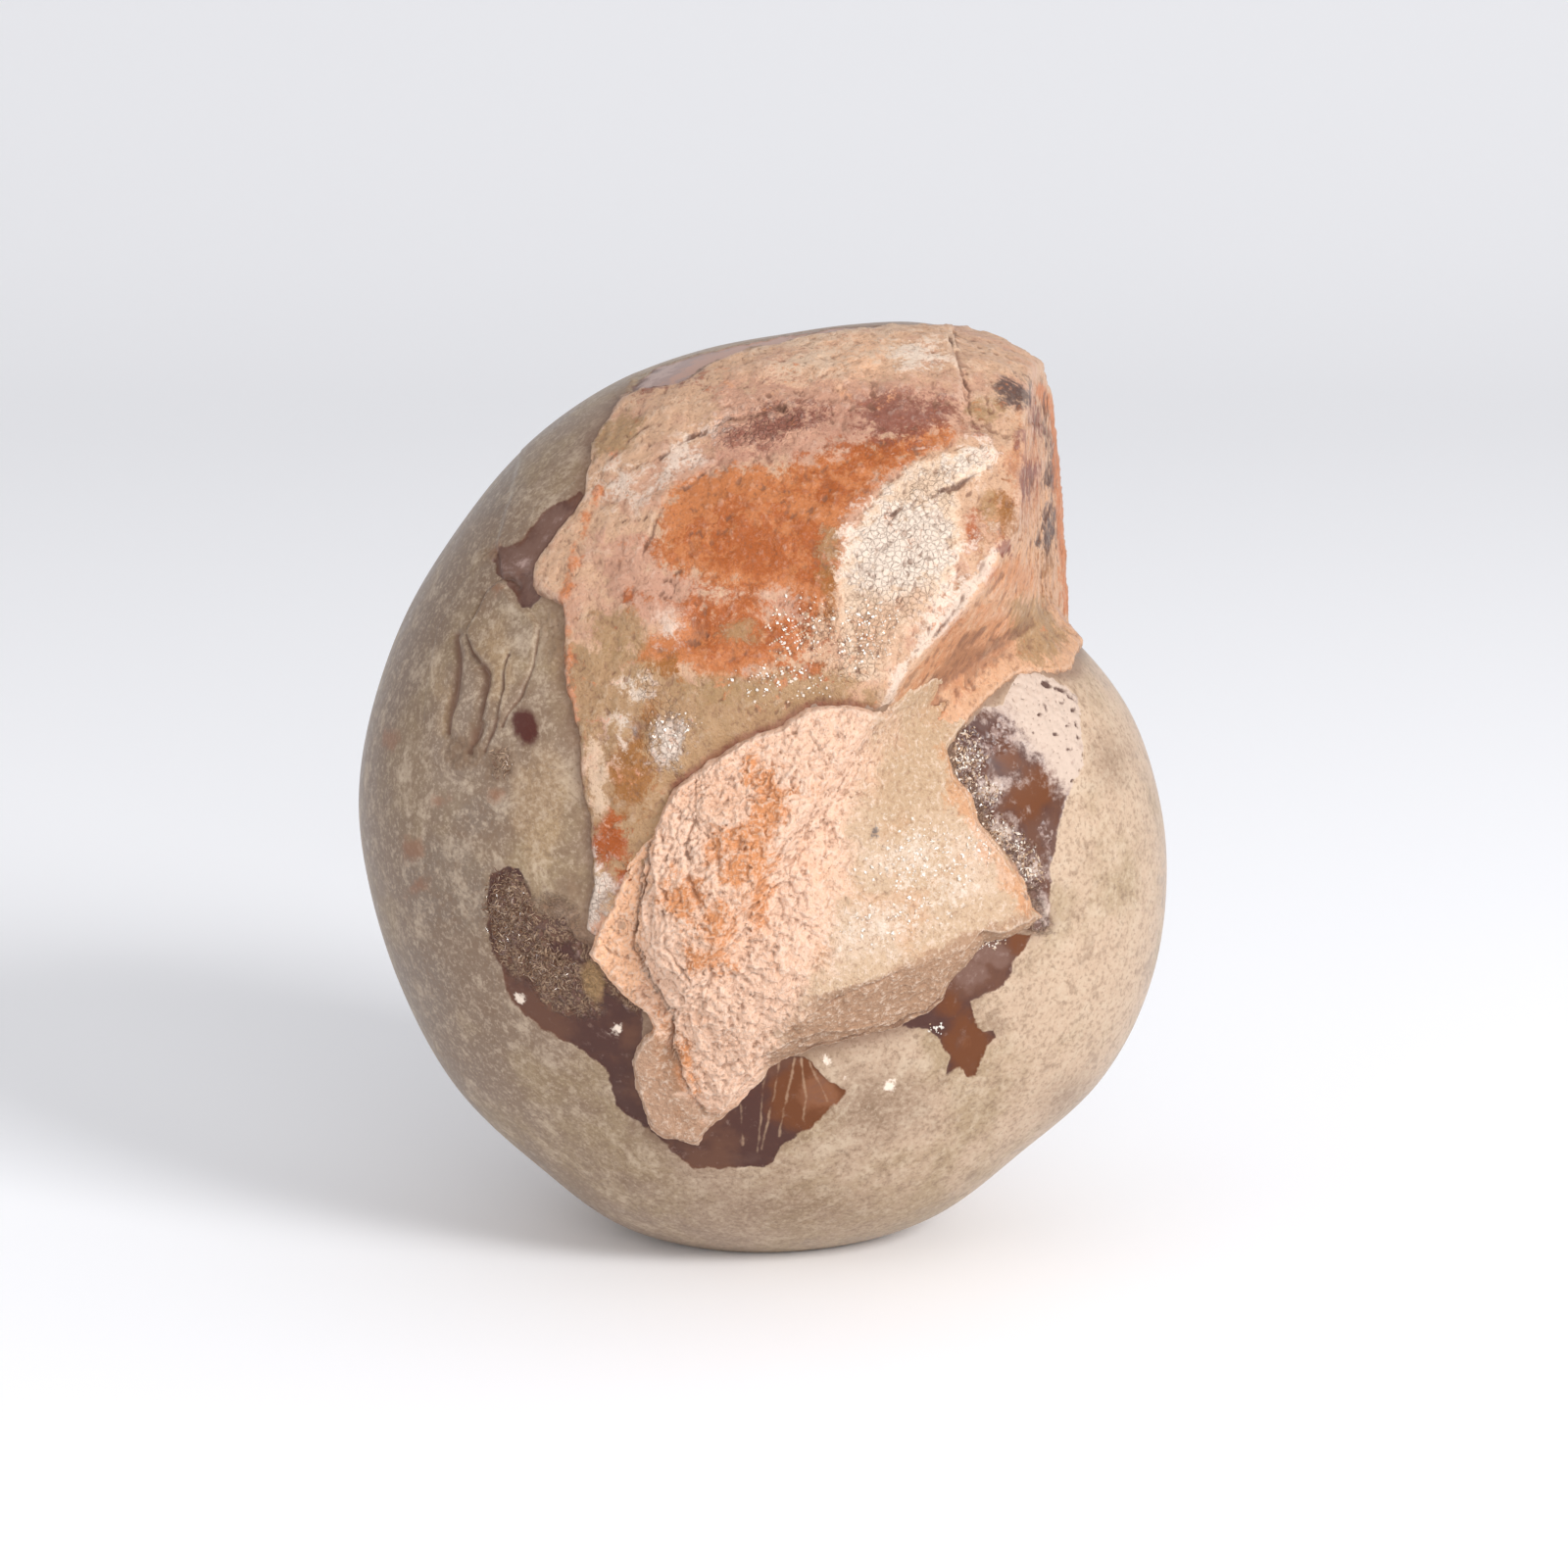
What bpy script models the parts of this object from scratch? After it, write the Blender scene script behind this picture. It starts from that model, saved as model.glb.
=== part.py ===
"""Fossil ammonite: a polished fossil shell with its last whorl broken off and rough stone left on one side.

One piece of stone. The coil turns about the Y axis, the broken end of the last whorl looks towards +X,
the rough stone is on the -Y side and the fossil stands on a small flat spot at Z = 0.
Outlines on the -Y side are drawn on an upright sheet in millimetres: across to +X and up from a point
59 mm above the foot, seen from 560 mm away and 12 degrees above the level.
"""
import bpy
import bmesh
import numpy as np

MM = 0.001

# ---- driving dimensions, millimetres ----
COIL_CENTRE = np.array([2.8, 3.7, 56.4])
SHEET_CENTRE = np.array([2.8, 3.7, 59.0])
SHEET_AWAY = 560.0
SHEET_TILT = np.radians(12.0)
ROUNDNESS = 2.15               # 2 is an ellipse, more is boxier
WHORL_JOIN = 4.0               # fillet between the last whorl and the one inside it
SHAPED_TRIANGLES = 8600        # what is left after thinning the mesh

# (degrees from +X towards +Z, distance from the coil centre)
INNER_RIM = [(0, 48.0), (15, 45.7), (30, 42.4), (50, 39), (70, 40), (90, 43), (110, 47), (130, 50.5),
             (150, 52.4), (165, 52.6), (180, 53.0), (190, 52.9), (204, 53.9), (220, 55.4), (235, 56.3),
             (250, 58.6), (262, 58.6), (275, 58.0), (290, 57.0), (305, 54.3), (320, 54.0), (335, 52.1),
             (350, 49.6)]
OUTER_RIM = [(0, 50), (20, 56), (40, 62), (55, 64.2), (66, 64.5), (74, 63.6), (82, 61.6), (90, 59.8),
             (100, 58.7), (110, 57.9), (120, 56.7), (130, 55.4), (145, 53.5), (160, 52.7), (180, 53.0),
             (200, 52), (230, 50), (270, 46), (320, 46)]
# half thickness towards -Y round the coil, then towards +Y, then on the coil axis towards -Y
INNER_HALF = ([(0, 34), (60, 36), (90, 41), (140, 41), (200, 40), (260, 38), (320, 35)], 38.0, 37.0)
OUTER_HALF = ([(0, 41), (90, 42), (180, 41), (270, 40)], 40.0, 41.0)

# broken end of the last whorl: point, outward normal, width of the worn corner to the face before
BREAK_FACES = [((39.4, 28.7, 88.0), (0.986, -0.152, 0.035), 0.0),
               ((26.0, -30.7, 88.4), (0.897, -0.369, -0.246), 2.5),
               ((25.1, -30.7, 88.4), (0.735, -0.459, -0.498), 2.5),
               ((35.4, 3.7, 112.6), (0.90, 0.0, 0.43), 1.5)]

# navel of the coil on the +Y side: depth, reach as a share of the turn, steepness
NAVEL = (9.0, 0.26, 2.4)

# ---- outlines on the sheet, millimetres ----
ROUGH_SKIN = [(-19.5, 49.5), (-20.5, 49), (-24.5, 43), (-25.5, 36.5), (-29, 31.5), (-32, 28),
              (-32, 25), (-30.5, 24), (-28, 22.5), (-28, 14), (-26, 6), (-25.5, 0), (-24.5, -6),
              (-24, -12.5), (-25.5, -19), (-20.5, -27), (-10, -25), (20, -20), (31, -17.5), (31, -13),
              (27.5, -8), (25, -5), (24, -1.5), (21.5, 1), (21, 4.5), (23.5, 8.5), (28, 12.5),
              (30, 14), (34, 14), (37, 14.5), (40, 30), (38, 52), (32, 58), (20, 58.3), (12.5, 58.2),
              (4, 57), (-4, 55.3), (-10, 53), (-12.5, 51)]
CHUNK = [(13, 9), (8.5, 10), (3, 9.5), (-1, 7), (-5, 5.5), (-9, 3), (-14, -0.5), (-17, -6), (-20, -10),
         (-22, -15.5), (-25, -21.5), (-23.5, -23.5), (-20.5, -27), (-17.5, -29), (-16.5, -31),
         (-18, -32.5), (-19.5, -35.5), (-19, -38), (-18, -41), (-17, -44), (-15, -45), (-11, -46),
         (-10, -44.5), (-8.5, -43), (-6, -41), (-3, -38), (-2, -36), (0, -35), (4, -33.5), (10.5, -32),
         (14.5, -31), (18.5, -29), (20, -27.5), (21.5, -25), (23.5, -23), (25.5, -20), (27.5, -20),
         (31, -18.5), (33, -17), (31.5, -16), (31, -13), (30, -11.5), (27.5, -8), (25, -5), (24, -1.5),
         (21.5, 1), (21, 4.5), (23.5, 8.5), (25, 10.5), (24, 12.5), (20, 14), (16, 12)]
UPPER_LAYER = [(-16.5, 0), (-17, -6), (-18, -12.5), (-19, -20), (-16.5, -25), (-14, -29), (-14, -33),
               (-13, -36), (-12, -39), (-10, -42), (-7.5, -42), (-2, -40), (6, -36), (20, -32),
               (36, -20), (30, -5), (26, 2), (26, 12), (16, 14), (10, 12), (0, 12), (-8, 6)]
CHUNK_TOP_EDGE = [(-14, -0.5), (-9, 3), (-5, 5.5), (-1, 7), (3, 9.5), (8.5, 10), (13, 9)]
# flat faces of the chunk, each through three (across, up, height) points: left, right, under, tongue
CHUNK_FACES = [((13, 9, 1.8), (3.5, -23, 7.5), (-18, -6, 1.8)),
               ((13, 9, 1.8), (3.5, -23, 7.5), (32.5, -16, 1.4)),
               ((10, -24, 6.5), (25, -20, 3.4), (14.5, -31, 0.8)),
               ((3.5, -23, 7.5), (-16.5, -25, 3.2), (-7, -41, 2.2))]
LOBE = [(-36, 24), (-34, 22.8), (-31, 20), (-31.5, 17), (-32.5, 13), (-34, 9), (-37, 7), (-38.5, 12),
        (-37.5, 16), (-39.5, 19), (-38, 23.5)]
SHELL_LAYER = [(-33.5, 60), (-33.5, 43), (-34, 40), (-36.5, 31), (-36, 26), (-32, 27), (-25, 37),
               (-20, 49), (-15, 60)]
CRACKS = [[(-41.5, 19.5), (-41.5, 17), (-42, 13), (-42.5, 9.5)],
          [(-38, 25), (-39.5, 20), (-40, 17.5), (-38.5, 15.5), (-37.5, 13.5), (-38, 11), (-39.5, 5)],
          [(-35, 16), (-36, 14), (-35.5, 12), (-36.5, 9), (-38, 4.5)]]
# shallow hollows (or swellings, where the depth is negative): across, up, radius, depth
HOLLOWS = [(-18.5, 7.5, 1.6, 0.7), (-10.5, 20, 2.2, 0.6), (-6, 15, 2.0, 0.5), (16, 20, 3.5, -0.7),
           (1, 22, 3, 0.4), (-14, 13, 2.5, 0.5), (19, 31, 5, -0.6)]


# ---- small maths on whole arrays ----
def ramp(x, low, high):
    t = np.clip((x - low) / (high - low), 0, 1)
    return t * t * (3 - 2 * t)


def soft_max(a, b, width):
    """The larger of two, with a fillet of the given width where they cross."""
    h = np.clip(0.5 + 0.5 * (a - b) / width, 0, 1)
    return b + (a - b) * h + width * h * (1 - h)


def soft_min(a, b, width):
    return -soft_max(-a, -b, width)


def around(turn, stops):
    """Smooth closed curve through (degrees, value) stops, read at angles in radians."""
    at = np.array([s[0] for s in stops], float)
    at = np.concatenate([at - 360, at, at + 360])
    value = np.array([s[1] for s in stops] * 3, float)
    slope = np.gradient(value, at)
    x = np.degrees(turn) % 360
    i = np.searchsorted(at, x, side="right") - 1
    gap = at[i + 1] - at[i]
    t = (x - at[i]) / gap
    return ((2 * t**3 - 3 * t**2 + 1) * value[i] + (t**3 - 2 * t**2 + t) * gap * slope[i]
            + (3 * t**2 - 2 * t**3) * value[i + 1] + (t**3 - t**2) * gap * slope[i + 1])


def edge_distance(ab, outline, closed=True):
    """Distance to an outline, positive inside a closed one and negative outside."""
    start = np.array(outline, float)
    end = np.roll(start, -1, 0) if closed else start[1:]
    nearest = np.full(len(ab), 1e9)
    inside = np.zeros(len(ab), bool)
    for (ax, ay), (bx, by) in zip(start, end):
        ex, ey = bx - ax, by - ay
        wx, wy = ab[:, 0] - ax, ab[:, 1] - ay
        t = np.clip((wx * ex + wy * ey) / (ex * ex + ey * ey), 0, 1)
        nearest = np.minimum(nearest, (wx - t * ex) ** 2 + (wy - t * ey) ** 2)
        if closed and ey:
            inside ^= ((ay > ab[:, 1]) != (by > ab[:, 1])) & (ab[:, 0] < ax + (ab[:, 1] - ay) / ey * ex)
    return np.where(inside | (not closed), 1, -1) * np.sqrt(nearest)


class Roughness:
    """Seeded lumpy patterns in space."""

    def __init__(self, seed):
        source = np.random.default_rng(seed)
        self.order = source.permutation(256)
        self.slope = source.normal(size=(256, 3))
        self.slope /= np.linalg.norm(self.slope, axis=1)[:, None]
        self.spot = source.random((256, 3))

    def pick(self, cell):
        i = self.order[cell[:, 0] & 255]
        i = self.order[(i + cell[:, 1]) & 255]
        return self.order[(i + cell[:, 2]) & 255]

    def lumps(self, p, size, kind=0):
        """Gradient noise, about -1 to 1, lumps `size` millimetres apart."""
        q = p / size + kind * 17.3
        cell = np.floor(q).astype(int)
        f = q - cell
        w = f * f * f * (f * (f * 6 - 15) + 10)
        total = np.zeros(len(p))
        for corner in np.ndindex(2, 2, 2):
            corner = np.array(corner)
            reach = ((f - corner) * self.slope[self.pick(cell + corner)]).sum(1)
            total += np.where(corner, w, 1 - w).prod(1) * reach
        return 1.6 * total

    def broken(self, p, size, octaves, kind=0):
        """Lumps with smaller lumps on them, each half as high as the last."""
        layers = [self.lumps(p, size / 2**k, kind + k) / 2**k for k in range(octaves)]
        return sum(layers) / sum(0.5**k for k in range(octaves))

    def chips(self, p, size, kind=0):
        """Tilt and level of flat chips scattered `size` millimetres apart."""
        q = p / size + kind * 11.7
        cell = np.floor(q).astype(int)
        nearest = np.full(len(p), 9.0)
        tilt, level = np.zeros(len(p)), np.zeros(len(p))
        for step in np.ndindex(3, 3, 3):
            there = cell + np.array(step) - 1
            k = self.pick(there)
            v = q - there - self.spot[k]
            away = np.sqrt((v * v).sum(1))
            near = away < nearest
            nearest = np.where(near, away, nearest)
            tilt = np.where(near, (v * self.slope[k]).sum(1) * size, tilt)
            level = np.where(near, self.spot[k][:, 0] - 0.5, level)
        return tilt, level


ROUGHNESS = Roughness(7)


# ---- the form: how far the surface is from the coil centre along each direction ----
def on_sheet(p):
    """Where points land on the upright sheet, looking from the sheet's viewing point."""
    c, s = np.cos(SHEET_TILT), np.sin(SHEET_TILT)
    up, ahead = np.array([0, s, c]), np.array([0, c, -s])
    v = p - SHEET_CENTRE + SHEET_AWAY * ahead
    scale = SHEET_AWAY / (v @ ahead)
    return np.stack([v[:, 0] * scale, (v @ up) * scale], 1)


def flat_range(d, point, normal):
    normal = np.array(normal) / np.linalg.norm(normal)
    facing = d @ normal
    return np.where(facing > 1e-3, ((np.array(point) - COIL_CENTRE) @ normal) / np.maximum(facing, 1e-3), 400.0)


def whorl_range(d, rim, half):
    """Rounded whorl: its rim gives the outline round the coil, its half thicknesses the sides."""
    turn = np.arctan2(d[:, 2], d[:, 0])
    out = np.hypot(d[:, 0], d[:, 2])
    swing = ramp(out, 0.05, 0.8)
    mean = np.mean([value for _, value in rim])
    reach = mean + (around(turn, rim) - mean) * swing
    front, back, axis = half
    thick = np.where(d[:, 1] < 0, axis + (around(turn, front) - axis) * swing, back)
    return ((out / reach) ** ROUNDNESS + (np.abs(d[:, 1]) / thick) ** ROUNDNESS) ** (-1 / ROUNDNESS)


def coil_range(d):
    """Inner whorls with the broken last whorl over them, and how much of each point is broken face."""
    inner = whorl_range(d, INNER_RIM, INNER_HALF)
    outer = whorl_range(d, OUTER_RIM, OUTER_HALF)
    cut = np.full(len(d), 400.0)
    for point, normal, worn in BREAK_FACES:
        cut = soft_min(cut, flat_range(d, point, normal), worn) if worn else flat_range(d, point, normal)
    face = ramp(outer - cut, 0, 1.2)
    outer = soft_min(outer, cut, 1.2)
    return soft_max(inner, outer, WHORL_JOIN), face * ramp(outer - inner, -0.5, 1.0)


def face_height(ab, three):
    k = np.linalg.solve([[x, y, 1] for x, y, _ in three], [height for *_, height in three])
    return ab @ k[:2] + k[2]


def chunk_height(ab, p):
    """Two layers of stone: a thin one to the outline and a faceted one with stepped edges on it."""
    inside, upper = edge_distance(ab, CHUNK), edge_distance(ab, UPPER_LAYER)
    left, right, under, tongue = (face_height(ab, f) for f in CHUNK_FACES)
    faces = soft_min(soft_min(left, right, 2.2), soft_min(under, tongue, 0.5), 0.7)
    faces = faces + 0.45 * ROUGHNESS.lumps(p, 9, 61)
    stair = np.clip(upper, 0, 9) / 1.7 + 0.6 * ROUGHNESS.lumps(p, 5, 62)
    stair = 0.38 * (np.floor(stair) + ramp(stair % 1, 0, 0.35))
    faces = np.minimum(faces, 1.9 + 0.35 * np.clip(upper, 0, None) + stair)
    thin = 1.0 + 0.15 * ROUGHNESS.lumps(p, 4, 63)
    thin *= 1 - ramp(ab[:, 1], 4, 11) * ramp(ab[:, 0], 10, 18)
    height = np.where(upper > 0, np.maximum(faces, thin), thin)
    return np.minimum(height, 2.2 * np.clip(inside, 0, None)), inside


def stone_relief(d, base):
    """Everything that stands on or is cut into the -Y side."""
    near = ramp(-d[:, 1], -0.1, 0.1)
    p = COIL_CENTRE + base[:, None] * d
    ragged = 0.45 * np.stack([ROUGHNESS.broken(p, 4.5, 3, 3), ROUGHNESS.broken(p, 4.5, 3, 9)], 1)
    height = np.zeros(len(d))
    for blend in (0.5, 0.5, 1.0):
        ab = on_sheet(COIL_CENTRE + (base + height)[:, None] * d) + ragged
        new, inside = chunk_height(ab, p)
        height = near * (height + (new - height) * blend)
    ab = on_sheet(COIL_CENTRE + (base + height)[:, None] * d) + ragged
    rough = edge_distance(ab, ROUGH_SKIN)
    skin = 0.75 * ramp(rough, -0.1, 0.7) + 0.22 * ROUGHNESS.broken(p, 8, 3, 31) * ramp(rough, 0, 2)
    skin -= 1.3 * np.exp(-(edge_distance(ab, CHUNK_TOP_EDGE, closed=False) / 2.6) ** 2)
    tilt, level = ROUGHNESS.chips(p + 0.9 * ragged[:, [0, 1, 0]], 2.8, 2)
    left_side = ramp(face_height(ab, CHUNK_FACES[1]) - face_height(ab, CHUNK_FACES[0]), -0.5, 0.5)
    grain = (0.22 * tilt + 0.3 * level) * (0.35 + 0.65 * left_side) + 0.25 * ROUGHNESS.broken(p, 3, 3, 21)
    total = np.maximum(height, skin) + grain * ramp(inside, 0, 1)
    for x, y, radius, depth in HOLLOWS:
        total -= depth * np.exp(-((ab[:, 0] - x) ** 2 + (ab[:, 1] - y) ** 2) / radius**2)
    total += 0.45 * ramp(edge_distance(ab, LOBE), -0.2, 0.5)
    total += 0.4 * ramp(edge_distance(ab, SHELL_LAYER), -0.1, 0.4)
    for crack in CRACKS:
        total -= 0.55 * np.exp(-(edge_distance(ab, crack, closed=False) / 0.55) ** 2)
    return near * total


def navel_relief(d):
    depth, reach, steep = NAVEL
    out = np.hypot(d[:, 0], d[:, 2])
    return -depth * np.exp(-(out / reach) ** steep) * ramp(d[:, 1], 0.1, 0.5)


def surface_points(d):
    base, face = coil_range(d)
    p = COIL_CENTRE + base[:, None] * d
    reach = base + stone_relief(d, base) + navel_relief(d)
    reach += 0.14 * ROUGHNESS.lumps(p, 18, 41) + 0.55 * face * ROUGHNESS.broken(p, 6, 3, 71)
    return COIL_CENTRE + reach[:, None] * d


# ---- objects ----
def start_empty():
    for old in list(bpy.data.objects):
        bpy.data.objects.remove(old, do_unlink=True)


def new_collection(name):
    collection = bpy.data.collections.new(name)
    bpy.context.scene.collection.children.link(collection)
    return collection


def stone_material():
    material = bpy.data.materials.new("polished_fossil_stone")
    material.use_nodes = True
    shader = material.node_tree.nodes["Principled BSDF"]
    shader.inputs["Base Color"].default_value = (0.42, 0.30, 0.18, 1.0)
    shader.inputs["Roughness"].default_value = 0.4
    return material


def shaped_body():
    """A fine ball, gathered towards -Y where the detail is, pushed out to the surface."""
    ball = bmesh.new()
    bmesh.ops.create_icosphere(ball, subdivisions=7, radius=1.0)
    d = np.array([v.co[:] for v in ball.verts]) + (0.0, -0.4, 0.0)
    d /= np.linalg.norm(d, axis=1)[:, None]
    for vert, place in zip(ball.verts, surface_points(d) * MM):
        vert.co = place
    bmesh.ops.recalc_face_normals(ball, faces=ball.faces)
    mesh = bpy.data.meshes.new("ammonite")
    ball.to_mesh(mesh)
    ball.free()
    return mesh


def foot_cutter(collection):
    """Block whose top is the flat spot the fossil stands on."""
    block = bmesh.new()
    bmesh.ops.create_cube(block, size=1.0)
    bmesh.ops.scale(block, verts=block.verts, vec=(0.2, 0.2, 0.05))
    bmesh.ops.translate(block, verts=block.verts, vec=(0.0, 0.0, -0.025))
    mesh = bpy.data.meshes.new("foot_cutter")
    block.to_mesh(mesh)
    block.free()
    cutter = bpy.data.objects.new("foot_cutter", mesh)
    cutter.hide_render = True
    cutter.display_type = "WIRE"
    collection.objects.link(cutter)
    return cutter


def build():
    start_empty()
    fossil = bpy.data.objects.new("ammonite", shaped_body())
    fossil.data.materials.append(stone_material())
    new_collection("fossil_ammonite").objects.link(fossil)
    thin = fossil.modifiers.new("thin_mesh", "DECIMATE")
    thin.ratio = SHAPED_TRIANGLES / len(fossil.data.polygons)
    flat = fossil.modifiers.new("flat_foot", "BOOLEAN")
    flat.operation = "DIFFERENCE"
    flat.solver = "EXACT"
    flat.object = foot_cutter(new_collection("cutters"))


build()
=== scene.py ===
"""Fossil ammonite: a polished fossil shell, the rough cast inside its broken last whorl, and a lump of rock.

Every surface is a distance from the coil centre along each direction, worked out in millimetres."""

import bpy
import numpy as np
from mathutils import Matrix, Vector


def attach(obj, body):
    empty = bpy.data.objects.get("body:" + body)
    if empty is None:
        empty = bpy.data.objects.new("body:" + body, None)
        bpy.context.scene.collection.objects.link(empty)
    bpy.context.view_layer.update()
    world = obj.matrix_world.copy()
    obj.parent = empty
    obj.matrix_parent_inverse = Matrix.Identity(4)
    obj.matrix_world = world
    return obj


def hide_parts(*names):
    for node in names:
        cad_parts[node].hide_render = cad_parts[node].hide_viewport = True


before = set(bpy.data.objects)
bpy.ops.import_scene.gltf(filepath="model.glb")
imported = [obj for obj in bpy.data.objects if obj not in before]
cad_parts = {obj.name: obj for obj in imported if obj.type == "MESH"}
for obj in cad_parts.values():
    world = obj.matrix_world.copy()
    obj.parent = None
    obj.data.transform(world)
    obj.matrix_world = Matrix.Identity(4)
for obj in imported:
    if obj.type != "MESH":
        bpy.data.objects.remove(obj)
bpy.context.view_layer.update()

bl_info = {
    "name": "Fossil Ammonite",
    "version": (1, 0, 0),
    "blender": (4, 5, 0),
    "location": "View3D > Sidebar > Fossil",
    "description": "Polished fossil ammonite with a broken last whorl and a lump of rock on its side",
    "category": "Add Mesh",
}

MM = 0.001
NODE = "ammonite"

# ---- driving dimensions, millimetres, as in the frame's solid ----
COIL_CENTRE = np.array([2.8, 3.7, 56.4])
SHEET_CENTRE = np.array([2.8, 3.7, 59.0])
SHEET_AWAY = 560.0             # from the camera to the sheet
SHEET_TILT = np.radians(12.0)  # how far the camera looks down
ROUNDNESS = 2.15               # power of the superellipse of a whorl
WHORL_JOIN = 4.0               # fillet between the inner whorls and the last one

# rims: degrees round the coil from +X towards +Z, distance from its centre
INNER_RIM = [(0, 48.0), (15, 45.7), (30, 42.4), (50, 39), (70, 40), (90, 43), (110, 47), (130, 50.5),
    (150, 52.4), (165, 52.6), (180, 53.0), (190, 52.9), (204, 53.9), (220, 55.4), (235, 56.3), (250, 58.6),
    (262, 58.6), (275, 58.0), (290, 57.0), (305, 54.3), (320, 54.0), (335, 52.1), (350, 49.6)]
OUTER_RIM = [(0, 50), (20, 56), (40, 62), (55, 64.2), (66, 64.5), (74, 63.6), (82, 61.6), (90, 59.8),
    (100, 58.7), (110, 57.9), (120, 56.7), (130, 55.4), (145, 53.5), (160, 52.7), (180, 53.0), (200, 52),
    (230, 50), (270, 46), (320, 46)]
# half thicknesses: the near side's by degrees, the far side's, the near side's at the coil axis
INNER_HALF = ([(0, 34), (60, 36), (90, 41), (140, 41), (200, 40), (260, 38), (320, 35)], 38.0, 37.0)
OUTER_HALF = ([(0, 41), (90, 42), (180, 41), (270, 40)], 40.0, 41.0)
# faces of the broken end: a point, the way it faces, how far its edge to the faces before it is rounded
BREAK_FACES = [((39.4, 28.7, 88.0), (0.986, -0.152, 0.035), 0.0),
    ((26.0, -30.7, 88.4), (0.897, -0.369, -0.246), 2.5), ((25.1, -30.7, 88.4), (0.735, -0.459, -0.498), 2.5),
    ((35.4, 3.7, 112.6), (0.90, 0.0, 0.43), 1.5)]
NAVEL = (9.0, 0.26, 2.4)       # depth of the far side's funnel, its reach as a sine, how steep it is
FACE_FOOT = 1.5                # how far the cast runs out over the inner whorl below the broken face
STREAK_WAY = np.array([0.47, 0.25, 0.84])  # the way that streaks run on the broken face
FOOT = ((0, 0, 0), (0, 0, -1))  # a point of the flat foot and the way it faces
OUTSIDE = -9.0                 # millimetres inside an outline, for a place far from all of them
FAR_AWAY = 400.0               # distance to a plane that a direction never meets
FRONT = 0.05                   # directions with Y below this can show in the outlines on the sheet
SKIN_END = 0.25                # the same for the cast, which runs on over the top
EDGE_ON = 1e-3                 # a plane met less squarely than this is never met
SHEET_WIDTH = 200.0            # what the camera takes in at the sheet

# ---- outlines on the upright sheet in front of the fossil, millimetres ----
# the bare rock of the cast, the lump of rock, and the thicker layer on it
ROUGH_SKIN = [(-19.5, 49.5), (-20.5, 49), (-24.5, 43), (-25.5, 36.5), (-29, 31.5), (-32, 28), (-32, 25),
    (-30.5, 24), (-28, 22.5), (-28, 14), (-26, 6), (-25.5, 0), (-24.5, -6), (-24, -12.5), (-25.5, -19),
    (-20.5, -27), (-10, -25), (20, -20), (31, -17.5), (31, -13), (27.5, -8), (25, -5), (24, -1.5), (21.5, 1),
    (21, 4.5), (23.5, 8.5), (28, 12.5), (30, 14), (34, 14), (37, 14.5), (40, 30), (38, 52), (32, 58),
    (20, 58.3), (12.5, 58.2), (4, 57), (-4, 55.3), (-10, 53), (-12.5, 51)]
CHUNK = [(13, 9), (8.5, 10), (3, 9.5), (-1, 7), (-5, 5.5), (-9, 3), (-14, -0.5), (-17, -6), (-20, -10),
    (-22, -15.5), (-25, -21.5), (-23.5, -23.5), (-20.5, -27), (-17.5, -29), (-16.5, -31), (-18, -32.5),
    (-19.5, -35.5), (-19, -38), (-18, -41), (-17, -44), (-15, -45), (-11, -46), (-10, -44.5), (-8.5, -43),
    (-6, -41), (-3, -38), (-2, -36), (0, -35), (4, -33.5), (10.5, -32), (14.5, -31), (18.5, -29),
    (20, -27.5), (21.5, -25), (23.5, -23), (25.5, -20), (27.5, -20), (31, -18.5), (33, -17), (31.5, -16),
    (31, -13), (30, -11.5), (27.5, -8), (25, -5), (24, -1.5), (21.5, 1), (21, 4.5), (23.5, 8.5), (25, 10.5),
    (24, 12.5), (20, 14), (16, 12)]
UPPER_LAYER = [(-16.5, 0), (-17, -6), (-18, -12.5), (-19, -20), (-16.5, -25), (-14, -29), (-14, -33),
    (-13, -36), (-12, -39), (-10, -42), (-7.5, -42), (-2, -40), (6, -36), (20, -32), (36, -20), (30, -5),
    (26, 2), (26, 12), (16, 14), (10, 12), (0, 12), (-8, 6)]
CHUNK_TOP_EDGE = [(-14, -0.5), (-9, 3), (-5, 5.5), (-1, 7), (3, 9.5), (8.5, 10), (13, 9)]
# planes of the lump of rock, left, right, under and tongue: three points as across, up, height
CHUNK_FACES = [((13, 9, 1.8), (3.5, -23, 7.5), (-18, -6, 1.8)),
    ((13, 9, 1.8), (3.5, -23, 7.5), (32.5, -16, 1.4)), ((10, -24, 6.5), (25, -20, 3.4), (14.5, -31, 0.8)),
    ((3.5, -23, 7.5), (-16.5, -25, 3.2), (-7, -41, 2.2))]
# a thin layer of shell that stands higher at the upper left, and the raised edge of a loose flake on the left
SHELL_LAYER = [(-33.5, 60), (-33.5, 43), (-34, 40), (-36.5, 31), (-36, 26), (-32, 27), (-25, 37), (-20, 49),
    (-15, 60)]
LEFT_FLAKE = [(-41.7, 19.1), (-41.5, 16.4), (-41.5, 14.8), (-41.8, 12.6), (-42.2, 10.4), (-42.7, 8.3),
    (-42.9, 6.6)]
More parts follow.
